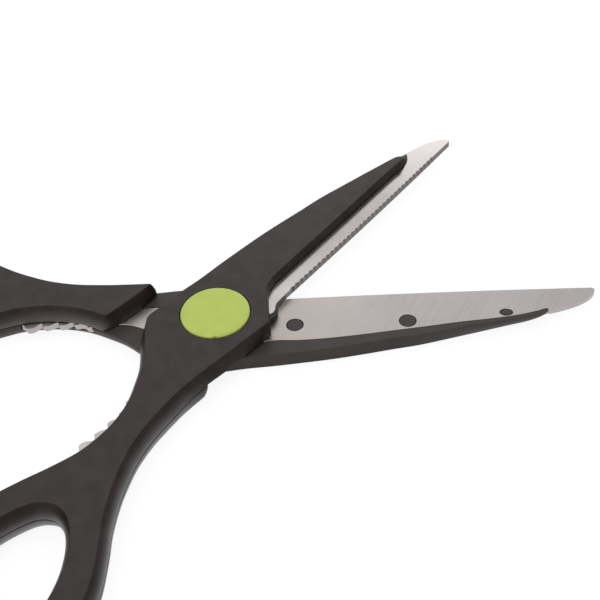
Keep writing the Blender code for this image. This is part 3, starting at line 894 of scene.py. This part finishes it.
@dataclass(frozen=True)
class MouldedPlastic:
    """Satin moulded plastic with a fine spark-eroded grain and a faint mottle.

    The grain and the mottle are given by the size of their patches. The coats are a
    painted sheen: a glossy layer laid on the flat faces, which lightens them against
    the walls, and on the handles' sides below their upper edge, which grow lighter
    towards the bottom.
    """

    name: str
    dark: Colour
    light: Colour
    roughness: float = 0.46
    rubbed_roughness: float = 0.22
    grain_roughness: float = 0.06
    grain: float = 0.00022
    grain_depth: float = 0.000006
    mottle: float = 0.005
    mottle_low: float = 0.3
    mottle_high: float = 0.7
    rubbed_share: float = 0.35
    specular: float = 0.5
    # Painted sheen: how much coat the flat faces and the lower handle sides get, and where.
    face_coat: float = 0.0
    face_start: float = 0.5
    face_full: float = 0.98
    side_coat: float = 0.0
    side_low: float = 0.0050
    side_high: float = 0.0096
    sheen_start: float = 0.008
    sheen_full: float = 0.030
    coat_index: float = 1.7

    def make(self) -> bpy.types.Material:
        """Build the material: two colours mixed by a slow noise, and a grainy bump.

        The level value on the mesh tells the flat faces from the walls.

        Returns:
            The material.
        """
        paint = Paint(bpy.data.materials.new(self.name))
        where = paint.place()
        x, _, z = paint.axes(where)
        # Painted sheen: the coat is laid on the flat faces and on the handles' sides below their
        # upper edge, so that they look lit.
        face = paint.attribute("level").ramp(self.face_start, self.face_full)
        side_sheen = (-x).ramp(self.sheen_start, self.sheen_full)
        side_sheen = side_sheen * (1.0 - z.ramp(self.side_low, self.side_high))
        slow = paint.noise(where, 1 / self.mottle, detail=3.0)
        fine = paint.noise(where, 1 / self.grain, roughness=0.6)
        rubbed = paint.noise(where, self.rubbed_share / self.mottle)
        return paint.finish({
            "Base Color": paint.blend(slow.ramp(self.mottle_low, self.mottle_high),
                                      self.dark, self.light),
            "Roughness": (self.roughness + rubbed.swing(self.rubbed_roughness)
                          + fine.swing(self.grain_roughness)),
            "Normal": paint.bump(fine, self.grain_depth),
            "Coat Weight": self.face_coat * face + (1.0 - face) * side_sheen * self.side_coat,
            "Coat Roughness": self.roughness, "Coat IOR": self.coat_index,
            "Specular IOR Level": self.specular})


@dataclass(frozen=True)
class BrushedSteel:
    """Stainless sheet with long fine brush lines, and a ground edge darkened by its grind and by
    painted shade.

    The brush angle is measured from the cutting edge. Cloud and speckle are sizes of
    patches. Each tone says how strongly a noise moves the colour between shade and
    colour, and the line's and cloud's roughness how strongly it moves the roughness.
    The stain is the tint about the pivot.
    """

    name: str
    brush: float
    colour: Colour = (0.465, 0.436, 0.433)
    shade: Colour = (0.400, 0.375, 0.372)
    # Darker colour of the ground edge: partly its rough grind, partly painted shade.
    ground: Colour = (0.165, 0.152, 0.147)
    stain: Colour = (0.495, 0.452, 0.422)
    stain_near: float = 0.026
    stain_far: float = 0.050
    stain_start: float = 0.25
    stain_full: float = 0.60
    line_length: float = 0.030
    line_width: float = 0.00020
    line_depth: float = 0.000002
    broad_share: float = 0.12
    cloud: float = 1 / 70
    speckle: float = 0.00045
    line_tone: float = 0.8
    broad_tone: float = 0.6
    cloud_tone: float = 0.6
    speckle_tone: float = 0.0
    roughness: float = 0.30
    line_roughness: float = 0.18
    cloud_roughness: float = 0.10
    ground_roughness: float = 0.10
    anisotropy: float = 0.4

    def make(self, angle: float) -> bpy.types.Material:
        """Build the material: noise stretched along the brushing gives the lines, and
        a slow noise lets them come and go. The mesh's ground value marks the edge.

        Args:
            angle: Angle of the blade about the pivot.

        Returns:
            The material.
        """
        paint = Paint(bpy.data.materials.new(self.name))
        where = paint.place()
        stretched = paint.place(self.brush - angle,
                                (self.line_width / self.line_length, 1.0, 1.0))
        lines = paint.noise(stretched, 1 / self.line_width, detail=3.0, roughness=0.6)
        broad = paint.noise(stretched, self.broad_share / self.line_width)
        cloud = paint.noise(where, 1 / self.cloud)
        grain = paint.noise(where, 1 / self.speckle, roughness=0.6)
        # Painted shade: the ground edge and the choil take the darker ground colour, partly for
        # their rough grind and partly for the shade it stands in.
        edge = paint.attribute("ground")
        near = 1.0 - paint.off_axis(where).ramp(self.stain_near, self.stain_far)
        tone = (lines.swing(self.line_tone) + broad.swing(self.broad_tone)
                + cloud.swing(self.cloud_tone) + 0.5 + grain.swing(self.speckle_tone))
        steel = paint.blend(tone.least(1.0).most(0.0), self.shade, self.colour)
        stained = near * cloud.ramp(self.stain_start, self.stain_full)
        steel = paint.blend(stained, steel, self.stain)
        return paint.finish({
            "Base Color": paint.blend(edge, steel, self.ground), "Metallic": 1.0,
            "Roughness": (self.roughness + lines.swing(self.line_roughness)
                          + cloud.swing(self.cloud_roughness) + edge * self.ground_roughness),
            "Normal": paint.bump(lines, self.line_depth),
            "Anisotropic": self.anisotropy})


@dataclass(frozen=True)
class TurnedSteel:
    """Bright turned steel, with fine rings about the pivot's axis and faint stains."""

    name: str
    colour: Colour = (0.55, 0.55, 0.56)
    shade: Colour = (0.42, 0.42, 0.43)
    tone_low: float = 0.3
    tone_high: float = 0.7
    ring: float = 0.00018
    ring_rise: float = 0.3
    ring_depth: float = 0.000004
    ring_tone: float = 0.7
    stain: float = 0.0025
    stain_tone: float = 0.3
    roughness: float = 0.24
    uneven: float = 0.15

    def make(self) -> bpy.types.Material:
        """Build the material: noise of the distance from the axis gives the rings.

        Returns:
            The material.
        """
        paint = Paint(bpy.data.materials.new(self.name))
        where = paint.place()
        rise = paint.axes(where)[2] * self.ring_rise
        spot = paint.add("ShaderNodeCombineXYZ", None, {0: paint.off_axis(where), 1: rise})
        rings = paint.noise(spot.outputs[0], 1 / self.ring, detail=3.0, roughness=0.6)
        stain = paint.noise(where, 1 / self.stain, detail=3.0)
        tone = rings * self.ring_tone + stain * self.stain_tone
        return paint.finish({
            "Base Color": paint.blend(tone.ramp(self.tone_low, self.tone_high),
                                      self.shade, self.colour),
            "Metallic": 1.0,
            "Roughness": (self.roughness + rings.swing(self.uneven)
                          + stain.swing(self.uneven)),
            "Normal": paint.bump(rings, self.ring_depth)})


@dataclass(frozen=True)
class Finishes:
    """Every finish on the scissors."""

    # The black's face and side coats are a painted sheen.
    black: MouldedPlastic = MouldedPlastic(
        "black_plastic", dark=(0.0140, 0.0096, 0.0085), light=(0.0250, 0.0178, 0.0160),
        specular=0.14, face_coat=0.26, side_coat=1.0)
    # Painted light: a lighter copy of the black plastic for the lower half's outer shell,
    # standing in for the light that falls on it.
    lit_black: MouldedPlastic = MouldedPlastic(
        "warm_black_plastic", dark=(0.034, 0.0285, 0.0270), light=(0.040, 0.0335, 0.0315),
        specular=0.20, face_coat=0.14)
    green: MouldedPlastic = MouldedPlastic(
        "green_plastic", dark=(0.424, 0.522, 0.082), light=(0.454, 0.556, 0.102),
        roughness=0.30, grain_depth=0.000003)
    white: MouldedPlastic = MouldedPlastic(
        "white_plastic", dark=(0.74, 0.73, 0.68), light=(0.82, 0.81, 0.76))
    upper_steel: BrushedSteel = BrushedSteel(
        "upper_blade_steel", brush=math.radians(-90.0), colour=(0.610, 0.574, 0.564),
        shade=(0.500, 0.470, 0.461), stain=(0.670, 0.642, 0.638), roughness=0.18,
        speckle_tone=1.8)
    lower_steel: BrushedSteel = BrushedSteel(
        "lower_blade_steel", brush=math.radians(-62.0))
    turned: TurnedSteel = TurnedSteel("turned_steel")


@dataclass(frozen=True)
class Blade:
    """Stamped steel plate of one half: blade, hub, tang and nutcracker teeth.

    The teeth start and end at shares of the blade's reach. The run steps are the curve
    samples in each span of the outline's runs, from the tip round to the choil.
    """

    side: Side
    plan: Plan
    tooth_pitch: float = 0.00215
    tooth_depth: float = 0.00043
    tooth_points: int = 10
    plain_points: int = 24
    tooth_start_share: float = 0.200
    tooth_end_share: float = 0.910
    edge_end_share: float = 0.995
    edge_belly: float = 0.0004
    edge_setback: float = 0.0001
    cracker_rise: float = 0.0012
    cracker_foot_shares: tuple[float, float] = (0.35, 0.25)
    cracker_back_share: float = 0.27
    run_steps: tuple[int, ...] = (6, 4, 4, 4, 2, 2, 3, 5)
    deburr: float = 0.00008
    bore_radius: float = 0.0042
    anchor_radius: float = 0.0025
    tip_anchor_radius: float = 0.0019
    tip_anchor_squash: float = 0.75
    stud_radius: float = 0.0014
    hole_points: int = 64
    anchors: Shares = ((0.205, 0.12), (0.500, 0.115), (0.758, -0.17))
    studs: Shares = ((-0.329, -0.145), (-0.455, -0.190))
    tip: Shares = ((1.000, -0.95), (1.000, -0.88), (0.987, -0.69), (0.959, -0.485),
                   (0.925, -0.325), (0.880, -0.18), (0.870, -0.165), (0.866, -0.215))
    spine: Shares = ((0.838, -0.185), (0.789, 0.00), (0.739, 0.12), (0.635, 0.29),
                     (0.556, 0.46), (0.478, 0.61), (0.400, 0.77), (0.296, 0.94),
                     (0.218, 1.00), (0.141, 0.98))
    hub: Shares = ((0.50, 0.56), (0.20, 0.64), (-0.20, 0.62), (-0.60, 0.42), (-0.90, 0.12))
    tang_top: Shares = ((-0.140, 0.030), (-0.174, 0.005), (-0.209, -0.033),
                        (-0.240, -0.041))
    cracker: Shares = ((-0.308, 0.000), (-0.340, -0.028), (-0.376, -0.027),
                       (-0.415, -0.024), (-0.455, -0.007))
    tang_end: Shares = ((-0.474, -0.050), (-0.503, -0.150), (-0.522, -0.300),
                        (-0.484, -0.300))
    tang_bottom: Shares = ((-0.406, -0.240), (-0.319, -0.210), (-0.232, -0.184),
                           (-0.140, -0.184))
    front: Shares = ((-0.60, -0.62), (-0.10, -0.72), (0.40, -0.74))
    choil: Shares = ((0.64, -1.08), (0.76, -1.16), (0.86, -1.12), (0.955, -1.02),
                     (1.12, -0.995))

    def edge(self) -> tuple[Ring, Ring]:
        """Cutting edge at the inner and at the outer face, point for point.

        The edge bows out along a parabola from the first tooth to the tip. The toothed
        edge bites into the outer corner along a rectified sine: the bite is the tooth's
        depth times the sine of the share of the pitch times pi.

        Returns:
            The edge at the inner face and at the outer face.
        """
        reach = self.plan.blade_reach
        start, end = self.tooth_start_share * reach, self.tooth_end_share * reach
        count = int((end - start) / self.tooth_pitch)
        if self.side is Side.UPPER:
            along = np.arange(count * self.tooth_points) / self.tooth_points
            x = np.append(start + along * self.tooth_pitch, self.edge_end_share * reach)
            bite = np.append(np.sin(np.pi * (along % 1.0)), 0.0) * self.tooth_depth
        else:
            x = np.linspace(start + self.tooth_pitch, self.edge_end_share * reach,
                            self.plain_points)
            bite = np.zeros(len(x))
        across = 2.0 * (x - start) / (reach - start) - 1.0
        y = -self.plan.edge_drop - self.edge_belly * (1.0 - across ** 2)
        return np.column_stack([x, y]), np.column_stack([x, y + self.edge_setback + bite])

    def cracker_points(self, rise: float) -> Points:
        """Nutcracker teeth: each tip has a steep side towards the loop and a long one.

        Args:
            rise: Height of the teeth. A negative one turns the notches outwards.

        Returns:
            Points of the teeth, from the hub to the loop.
        """
        plan = self.plan
        tips = scaled(self.cracker, plan.handle_reach, plan.handle_drop,
                      plan.shifts(self.side)[0])
        pitch = (tips[0][0] - tips[-1][0]) / (len(tips) - 1)
        across, down = self.cracker_foot_shares
        points = []
        for x, y in tips:
            points.append((x + across * pitch, y - down * rise))
            points.append((x, y))
            points.append((x - self.cracker_back_share * pitch, y - rise))
        return points[1:]

    def back(self, rise: float) -> Ring:
        """Outline without the edge, from the tip round by the tang to the choil.

        Args:
            rise: Height of the nutcracker teeth.

        Returns:
            The open ring. Each run is a smooth curve up to the next run's first point.
        """
        plan = self.plan
        reach, drop, shift = plan.handle_reach, plan.handle_drop, plan.shifts(self.side)[0]
        runs = [
            scaled(self.tip, plan.blade_reach, plan.edge_drop)
            + scaled(self.spine, plan.blade_reach, plan.spine_rise),
            scaled(self.hub, plan.hub_reach, plan.hub_reach),
            scaled(self.tang_top, reach, drop),
            self.cracker_points(rise),
            scaled(self.tang_end, reach, drop, shift),
            scaled(self.tang_bottom, reach, drop),
            scaled(self.front, plan.hub_reach, plan.hub_reach),
            scaled(self.choil, plan.hub_reach, plan.edge_drop)]
        curves = [smooth_run(run + after[:1], steps)
                  for run, after, steps in zip(runs, runs[1:] + [[]], self.run_steps)]
        return np.concatenate([*curves, runs[-1][-1:]])

    def outline(self) -> tuple[Ring, Ring, int]:
        """Outline of the plate.

        Returns:
            The ring at the inner and at the outer face, and how many points the cutting
            edge has.
        """
        inner, outer = self.edge()
        back = self.back(self.cracker_rise)
        return np.concatenate([inner, back]), np.concatenate([outer, back]), len(inner)

    def pocket(self) -> Ring:
        """Outline that the plate's pocket in the shell clears.

        Returns:
            The ring. The notches between its nutcracker teeth are turned outwards, so
            that the pocket opens through the handle's side.
        """
        inner, _ = self.edge()
        return np.concatenate([inner[[0, -1]], self.back(-self.cracker_rise)])

    def holes(self) -> list[Ring]:
        """Holes for the shell's posts and studs, and the bore for the pivot.

        Returns:
            The rings, first the posts' from the hub to the tip, last the bore.
        """
        plan = self.plan
        *anchors, tip_anchor = scaled(self.anchors, plan.blade_reach, plan.spine_rise)
        studs = scaled(self.studs, plan.handle_reach, plan.handle_drop)
        rings = [circle(self.anchor_radius, self.hole_points, at) for at in anchors]
        rings.append(circle(self.tip_anchor_radius, self.hole_points, tip_anchor,
                            self.tip_anchor_squash))
        rings += [circle(self.stud_radius, self.hole_points, at) for at in studs]
        rings.append(circle(self.bore_radius, self.hole_points))
        return rings

    def build(self, steel: bpy.types.Material) -> bpy.types.Object:
        """Make the plate with its edges slightly broken, and mark the ground edge.

        Args:
            steel: Its finish.

        Returns:
            The finished plate.
        """
        plan = self.plan
        low, high = plan.inner_face, plan.plate_top
        inner, outer, edge_count = self.outline()
        body = Body()
        body.loft(broken_wall(inner, outer, low, high, self.deburr))
        for ring in self.holes():
            body.loft(broken_wall(ring, ring, low, high, self.deburr, way=-1.0))
        node = self.side.prefix + "_blade"
        name = node + "_steel"
        mesh = body.mesh(name, plan.matrix(self.side))
        self.mark_ground(mesh, edge_count, len(inner))
        return finished(name, mesh, self.side, node, steel)

    def mark_ground(self, mesh: bpy.types.Mesh, edge_count: int, ring_count: int) -> None:
        """Store on each face whether it is the ground cutting edge or the choil.

        The outline's wall comes first in the mesh, as three bands of faces: a bevel,
        the upright band and a bevel.

        Args:
            mesh: The plate's mesh, which gets the ground value.
            edge_count: Points on the cutting edge.
            ring_count: Points on the whole outline.
        """
        ground = np.zeros(len(mesh.polygons), np.float32)
        upright = ring_count + np.arange(ring_count)
        choil = self.run_steps[-1] * len(self.choil)
        ground[upright] = (upright + choil) % ring_count < edge_count - 1 + choil
        mesh.attributes.new("ground", "FLOAT", "FACE").data.foreach_set("value", ground)


@dataclass(frozen=True)
class OuterShell:
    """Moulded cover, hub and outer half of the handle."""

    side: Side
    plan: Plan
    blade: Blade
    recess_radius: float
    recess_depth: float
    bore_radius: float
    recess_round: float = 0.00015
    post_inset: float = 0.0001
    post_root: float = 0.0003
    overrun: float = 0.002
    recess_points: int = 128
    recess_levels: int = 4
    nub_steps: int = 4
    nub: Shares = ((0.25, -0.78), (0.40, -1.10), (0.62, -1.29), (0.79, -1.25),
                   (0.91, -1.14), (0.93, -1.02), (0.64, -0.83))

    def blank(self) -> bpy.types.Mesh:
        """Make the shell without its pocket and posts.

        The corner of the recess for the cap or the nut is a quarter circle.

        Returns:
            The closed mesh.
        """
        plan = self.plan
        low, high = plan.inner_face, plan.half_thickness
        top, base, _, _ = plan.shell_rings(self.side)
        body = Body()
        body.loft(plan.side_levels(top, base, low, high, plan.nose_dent(len(top))))
        body.loft(plan.side_levels(*plan.hole_rings(self.side), low, high))
        turn = np.linspace(0.0, math.pi / 2, self.recess_levels)
        radii = self.recess_radius + self.recess_round * (1 - np.sin(turn))
        heights = high - self.recess_round * (1 - np.cos(turn))
        profile = [*zip(radii, heights), (self.recess_radius, high - self.recess_depth)]
        body.loft(turned_rings(profile, self.recess_points))
        return body.mesh("blank", plan.matrix(self.side))

    def build(self, material: bpy.types.Material) -> bpy.types.Object:
        """Make the shell, cut the plate's pocket in it and set the posts in.

        Args:
            material: Its finish.

        Returns:
            The finished shell.
        """
        plan = self.plan
        matrix = plan.matrix(self.side)
        bottom = plan.inner_face - self.overrun
        floor = plan.half_thickness - self.recess_depth
        outline = self.blade.pocket()
        pocket = block(outline + normals_of(outline) * plan.fit_gap, bottom,
                       plan.pocket_floor, matrix)
        bore = block(circle(self.bore_radius, self.recess_points), bottom,
                     floor + self.overrun / 2, matrix)
        nub = block(smooth_run(scaled(self.nub, plan.hub_reach, plan.edge_drop),
                               self.nub_steps, closed=True),
                    plan.inner_face + plan.fit_gap, plan.plate_top, matrix)
        posts = [block(ring - normals_of(ring) * plan.fit_gap,
                       plan.inner_face + self.post_inset,
                       plan.pocket_floor + self.post_root, matrix)
                 for ring in self.blade.holes()[:len(self.blade.anchors)]]
        made = cut(cut(self.blank(), [nub], [pocket, bore]), posts, [])
        name = self.side.prefix + "_outer_cover"
        made.name = name
        return finished(name, made, self.side, self.side.prefix + "_outer_shell",
                        material)


@dataclass(frozen=True)
class InnerShell:
    """Inner half of the handle, from the shoulder wall back round the finger hole."""

    side: Side
    plan: Plan
    near_corner: float = 0.0010
    far_corner: float = 0.0004
    corner_points: int = 8

    def rounded(self, rings: list[Ring], corner: Ring, reach: float) -> list[Ring]:
        """Round one corner of both rings alike.

        The corner becomes a quadratic curve between the first points that lie beyond
        reach on either side of it, with the corner point as its control.

        Args:
            rings: Outline at the outer face and at the blades' plane.
            corner: The corner point of the first ring.
            reach: How far from the corner the curve starts.

        Returns:
            Both rings.
        """
        apart = np.linalg.norm(rings[0] - corner, axis=1)
        place = int(np.argmin(apart))
        apart = np.roll(apart, -place)
        ahead, behind = np.argmax(apart > reach), np.argmax(apart[::-1] > reach)
        t = np.linspace(0.0, 1.0, self.corner_points)[:, None]
        made = []
        for ring in rings:
            turned = np.roll(ring, -place, axis=0)
            kept = turned[ahead:len(ring) - behind]
            curve = (1 - t) ** 2 * kept[-1] + 2 * t * (1 - t) * turned[0] + t ** 2 * kept[0]
            made.append(np.concatenate([kept, curve[1:-1]]))
        return made

    def rings(self) -> list[Ring]:
        """Outline of the inner shell, with rounded corners at the shoulder wall.

        Returns:
            The ring at the outer face and the one at the blades' plane.
        """
        top, base, first, last = self.plan.shell_rings(self.side)
        grip = top[first:last + 1], base[first:last + 1]
        made = [np.concatenate(pair) for pair in zip(grip, self.plan.shoulder_wall(*grip))]
        made = self.rounded(made, top[last], self.far_corner)
        return self.rounded(made, top[first], self.near_corner)

    def build(self, material: bpy.types.Material) -> bpy.types.Object:
        """Make the shell. Its base lies just under the outer shell's.

        Args:
            material: Its finish.

        Returns:
            The finished shell.
        """
        plan = self.plan
        face = plan.inner_face - plan.fit_gap
        body = Body()
        for rings in (self.rings(), plan.hole_rings(self.side)):
            body.loft(plan.side_levels(*rings, face, -plan.half_thickness))
        name = self.side.prefix + "_inner_cover"
        mesh = body.mesh(name, plan.matrix(self.side))
        return finished(name, mesh, self.side, self.side.prefix + "_inner_shell",
                        material)


@dataclass(frozen=True)
class Pivot:
    """Sizes and heights of the pieces on the pivot, above the blades' plane."""

    plan: Plan
    washer_thickness: float = 0.0003
    washer_wave: float = 0.00012
    head_radius: float = 0.0055
    head_thickness: float = 0.0010
    cap_radius: float = 0.0100
    nut_radius: float = 0.0068
    nut_thickness: float = 0.0013
    barrel_radius: float = 0.0030

    @property
    def head_low(self) -> float:
        """Underside of the screw's head."""
        washer = self.washer_thickness + 2 * self.washer_wave
        return self.plan.plate_top + washer + 2 * self.plan.running_gap

    @property
    def cap_low(self) -> float:
        """Underside of the cap."""
        return self.head_low + self.head_thickness + self.plan.running_gap

    def shell(self, side: Side, blade: Blade) -> OuterShell:
        """Outer shell of a half, with its recess for the cap or the nut.

        Args:
            side: The half.
            blade: Its plate.

        Returns:
            The shell, not yet built.
        """
        plan = self.plan
        if side is Side.UPPER:
            depth = plan.half_thickness - self.cap_low + plan.fit_gap
            return OuterShell(side, plan, blade, self.cap_radius + plan.fit_gap, depth,
                              self.head_radius + plan.fit_gap)
        return OuterShell(side, plan, blade, self.nut_radius + plan.fit_gap,
                          self.nut_thickness + plan.fit_gap,
                          self.barrel_radius + plan.running_gap)


@dataclass(frozen=True)
class PivotCap:
    """Round snap-in cap with a soft rim and a small pry notch."""

    pivot: Pivot
    proud: float = 0.0006
    rim: float = 0.00055
    crown: float = 0.00008
    foot: float = 0.00015
    notch_angle: float = math.radians(-139.7)
    notch_half_width: float = 0.0009
    notch_bite: float = 0.0004
    around: int = 288
    rim_levels: int = 9
    crown_levels: int = 14
    crown_start_share: float = 0.94
    crown_end_share: float = 0.02

    def build(self, material: bpy.types.Material) -> bpy.types.Object:
        """Turn a profile about the pivot, drawn in round the notch.

        The radius of every rim point is the profile's radius less the notch's bite
        times a raised cosine of the distance from the notch. The top is a parabola
        that falls by the crown from its middle to the rim.

        Args:
            material: Its finish.

        Returns:
            The finished cap.
        """
        plan, radius = self.pivot.plan, self.pivot.cap_radius
        low, high = self.pivot.cap_low, plan.half_thickness + self.proud
        turn = np.linspace(0.0, 2 * math.pi, self.around, endpoint=False)
        apart = np.abs((turn - self.notch_angle + math.pi) % (2 * math.pi) - math.pi)
        bite = self.notch_bite * hump(apart * radius / self.notch_half_width)
        arc = np.linspace(0.0, math.pi / 2, self.rim_levels)
        flat, edge = radius - self.rim, high - self.crown
        inwards = np.linspace(self.crown_start_share, self.crown_end_share, self.crown_levels)
        radii = np.concatenate([[radius - self.foot, radius],
                                flat + self.rim * np.cos(arc), flat * inwards])
        heights = np.concatenate([[low, low + self.foot],
                                  edge - self.rim + self.rim * np.sin(arc),
                                  high - self.crown * inwards ** 2])
        share = np.clip((radii - (flat - self.rim)) / (2 * self.rim), 0.0, 1.0)
        out = radii[:, None] - share[:, None] * bite[None]
        body = Body()
        body.loft(np.stack([out * np.cos(turn), out * np.sin(turn),
                            np.repeat(heights[:, None], self.around, 1)], axis=-1))
        mesh = body.mesh("pivot_cap_green", plan.matrix(Side.UPPER))
        return finished("pivot_cap_green", mesh, Side.UPPER, "pivot_cap",
                        material)


@dataclass(frozen=True)
class PivotNut:
    """Outer face of the nut, with its two spanner holes, and its barrel."""

    pivot: Pivot
    bevel: float = 0.00015
    hole_radius: float = 0.0008
    hole_depth: float = 0.0007
    hole_points: int = 48
    around: int = 128

    def build(self, material: bpy.types.Material) -> bpy.types.Object:
        """Turn the nut's profile about the axis and sink the two holes in its face.

        Args:
            material: Its finish.

        Returns:
            The finished nut.
        """
        plan, radius, barrel = self.pivot.plan, self.pivot.nut_radius, self.pivot.barrel_radius
        face, c = -plan.half_thickness, self.bevel
        seat = face + self.pivot.nut_thickness
        body = Body()
        body.loft(turned_rings(
            [(radius - c, face), (radius, face + c), (radius, seat - c), (radius - c, seat),
             (barrel, seat), (barrel, self.pivot.head_low - plan.fit_gap)], self.around))
        out = (barrel + radius) / 2
        for x in (-out, out):
            ring = circle(self.hole_radius, self.hole_points, (x, 0.0))
            body.loft(stack((ring + normals_of(ring) * c, face), (ring, face + c),
                            (ring, face + self.hole_depth)))
        lift = Matrix.Translation((0.0, 0.0, plan.half_thickness))
        mesh = body.mesh("pivot_nut_steel", lift)
        return finished("pivot_nut_steel", mesh, Side.LOWER, "pivot_nut",
                        material)


@dataclass(frozen=True)
class Lamp:
    """A square soft lamp that faces the scissors and isn't in the picture.

    Its power is in watts.
    """

    name: str
    place: tuple[float, float, float]
    size: float
    power: float

    def build(self) -> None:
        """Hang the lamp."""
        data = bpy.data.lights.new(self.name, "AREA")
        data.shape = "SQUARE"
        data.size = self.size
        data.energy = self.power
        obj = linked(self.name, data)
        obj.location = self.place
        obj.rotation_euler = (-Vector(self.place)).to_track_quat("-Z", "Y").to_euler()
        obj.visible_camera = False


@dataclass(frozen=True)
class Studio:
    """Pale floor, soft light and the photograph's camera, whose lens is in millimetres."""

    aim: tuple[float, float, float] = (0.02565, -0.00233, 0.00490)
    azimuth: float = math.radians(-23.4)
    elevation: float = math.radians(44.2)
    roll: float = math.radians(4.12)
    distance: float = 0.3288
    lens: float = 67.0
    nearest: float = 0.01
    floor_size: float = 6.0
    floor_drop: float = 0.0002
    floor_colour: Colour = (0.80, 0.79, 0.78)
    shadow_colour: Colour = (0.17, 0.17, 0.17)
    floor_glow: float = 0.88
    world_level: float = 0.82
    lamps: tuple[Lamp, ...] = (
        Lamp("top_lamp", (-0.2, 0.1, 1.4), size=2.0, power=7.8),
        Lamp("far_lamp", (0.6, 1.2, 0.5), size=0.8, power=2.1),
        Lamp("left_lamp", (-1.0, -0.85, 0.45), size=1.0, power=3.0))

    def camera(self) -> None:
        """Place the camera on a sphere round its aim point and roll it."""
        back = Vector((math.sin(self.azimuth) * math.cos(self.elevation),
                       -math.cos(self.azimuth) * math.cos(self.elevation),
                       math.sin(self.elevation)))
        data = bpy.data.cameras.new("camera")
        data.lens = self.lens
        data.clip_start = self.nearest
        obj = linked("camera", data)
        turn = (-back).to_track_quat("-Z", "Y").to_matrix().to_4x4()
        turn = turn @ Matrix.Rotation(-self.roll, 4, "Z")
        obj.matrix_world = Matrix.Translation(Vector(self.aim) + back * self.distance) @ turn
        bpy.context.scene.camera = obj

    def floor(self) -> None:
        """A wide pale floor that shows white and keeps the soft shadow."""
        half = self.floor_size / 2
        mesh = bpy.data.meshes.new("floor")
        mesh.from_pydata([(-half, -half, 0.0), (half, -half, 0.0), (half, half, 0.0),
                          (-half, half, 0.0)], [], [(0, 1, 2, 3)])
        obj = linked("floor", mesh)
        obj.location.z = -self.floor_drop
        paint = Paint(bpy.data.materials.new("floor"))
        plain = paint.add("ShaderNodeBsdfDiffuse", None, {"Color": self.floor_colour})
        shadow = paint.add("ShaderNodeBsdfDiffuse", None, {"Color": self.shadow_colour})
        glow = paint.add("ShaderNodeEmission", None, {"Strength": self.floor_glow})
        shown = paint.add("ShaderNodeAddShader", None,
                          {0: shadow.outputs[0], 1: glow.outputs[0]})
        paint.show("Material", paint.split(plain, shown))
        dress(mesh, paint.owner)

    def world(self) -> None:
        """Even pale surroundings, a little paler where the camera or a mirror sees them."""
        paint = Paint(bpy.data.worlds.new("surroundings"))
        bpy.context.scene.world = paint.owner
        lit, shown = (paint.add("ShaderNodeBackground", None, {"Strength": level})
                      for level in (self.world_level, 1.0))
        paint.show("World", paint.split(lit, shown))

    def build(self) -> None:
        """Set up the whole studio."""
        self.camera()
        self.floor()
        self.world()
        for lamp in self.lamps:
            lamp.build()
        bpy.context.scene.view_settings.view_transform = "Standard"


def main() -> None:
    """Build the studio, both halves and the pivot."""
    logging.basicConfig(level=logging.INFO, format="%(name)s: %(message)s")
    Studio().build()
    plan = Plan()
    pivot = Pivot(plan)
    finishes = Finishes()
    black, turned = finishes.black.make(), finishes.turned.make()
    # The lower outer shell gets the lighter copy of the black plastic, which is painted light.
    covers = {Side.UPPER: black, Side.LOWER: finishes.lit_black.make()}
    steels = {Side.UPPER: finishes.upper_steel, Side.LOWER: finishes.lower_steel}
    pieces = []
    for side in Side:
        blade = Blade(side, plan)
        pieces.append(blade.build(steels[side].make(plan.angle(side))))
        pieces.append(pivot.shell(side, blade).build(covers[side]))
        pieces.append(InnerShell(side, plan).build(black))
    pieces.append(PivotCap(pivot).build(finishes.green.make()))
    pieces.append(PivotNut(pivot).build(turned))
    hidden = {"pivot_screw": turned, "wave_washer": turned,
              "pivot_bush": finishes.white.make()}
    for node, material in hidden.items():
        dress(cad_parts[node].data, material)
        pieces.append(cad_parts[node])
    for piece in pieces:
        log.info("%s: %d faces", piece.name, len(piece.data.polygons))


if __name__ == "__main__":
    main()
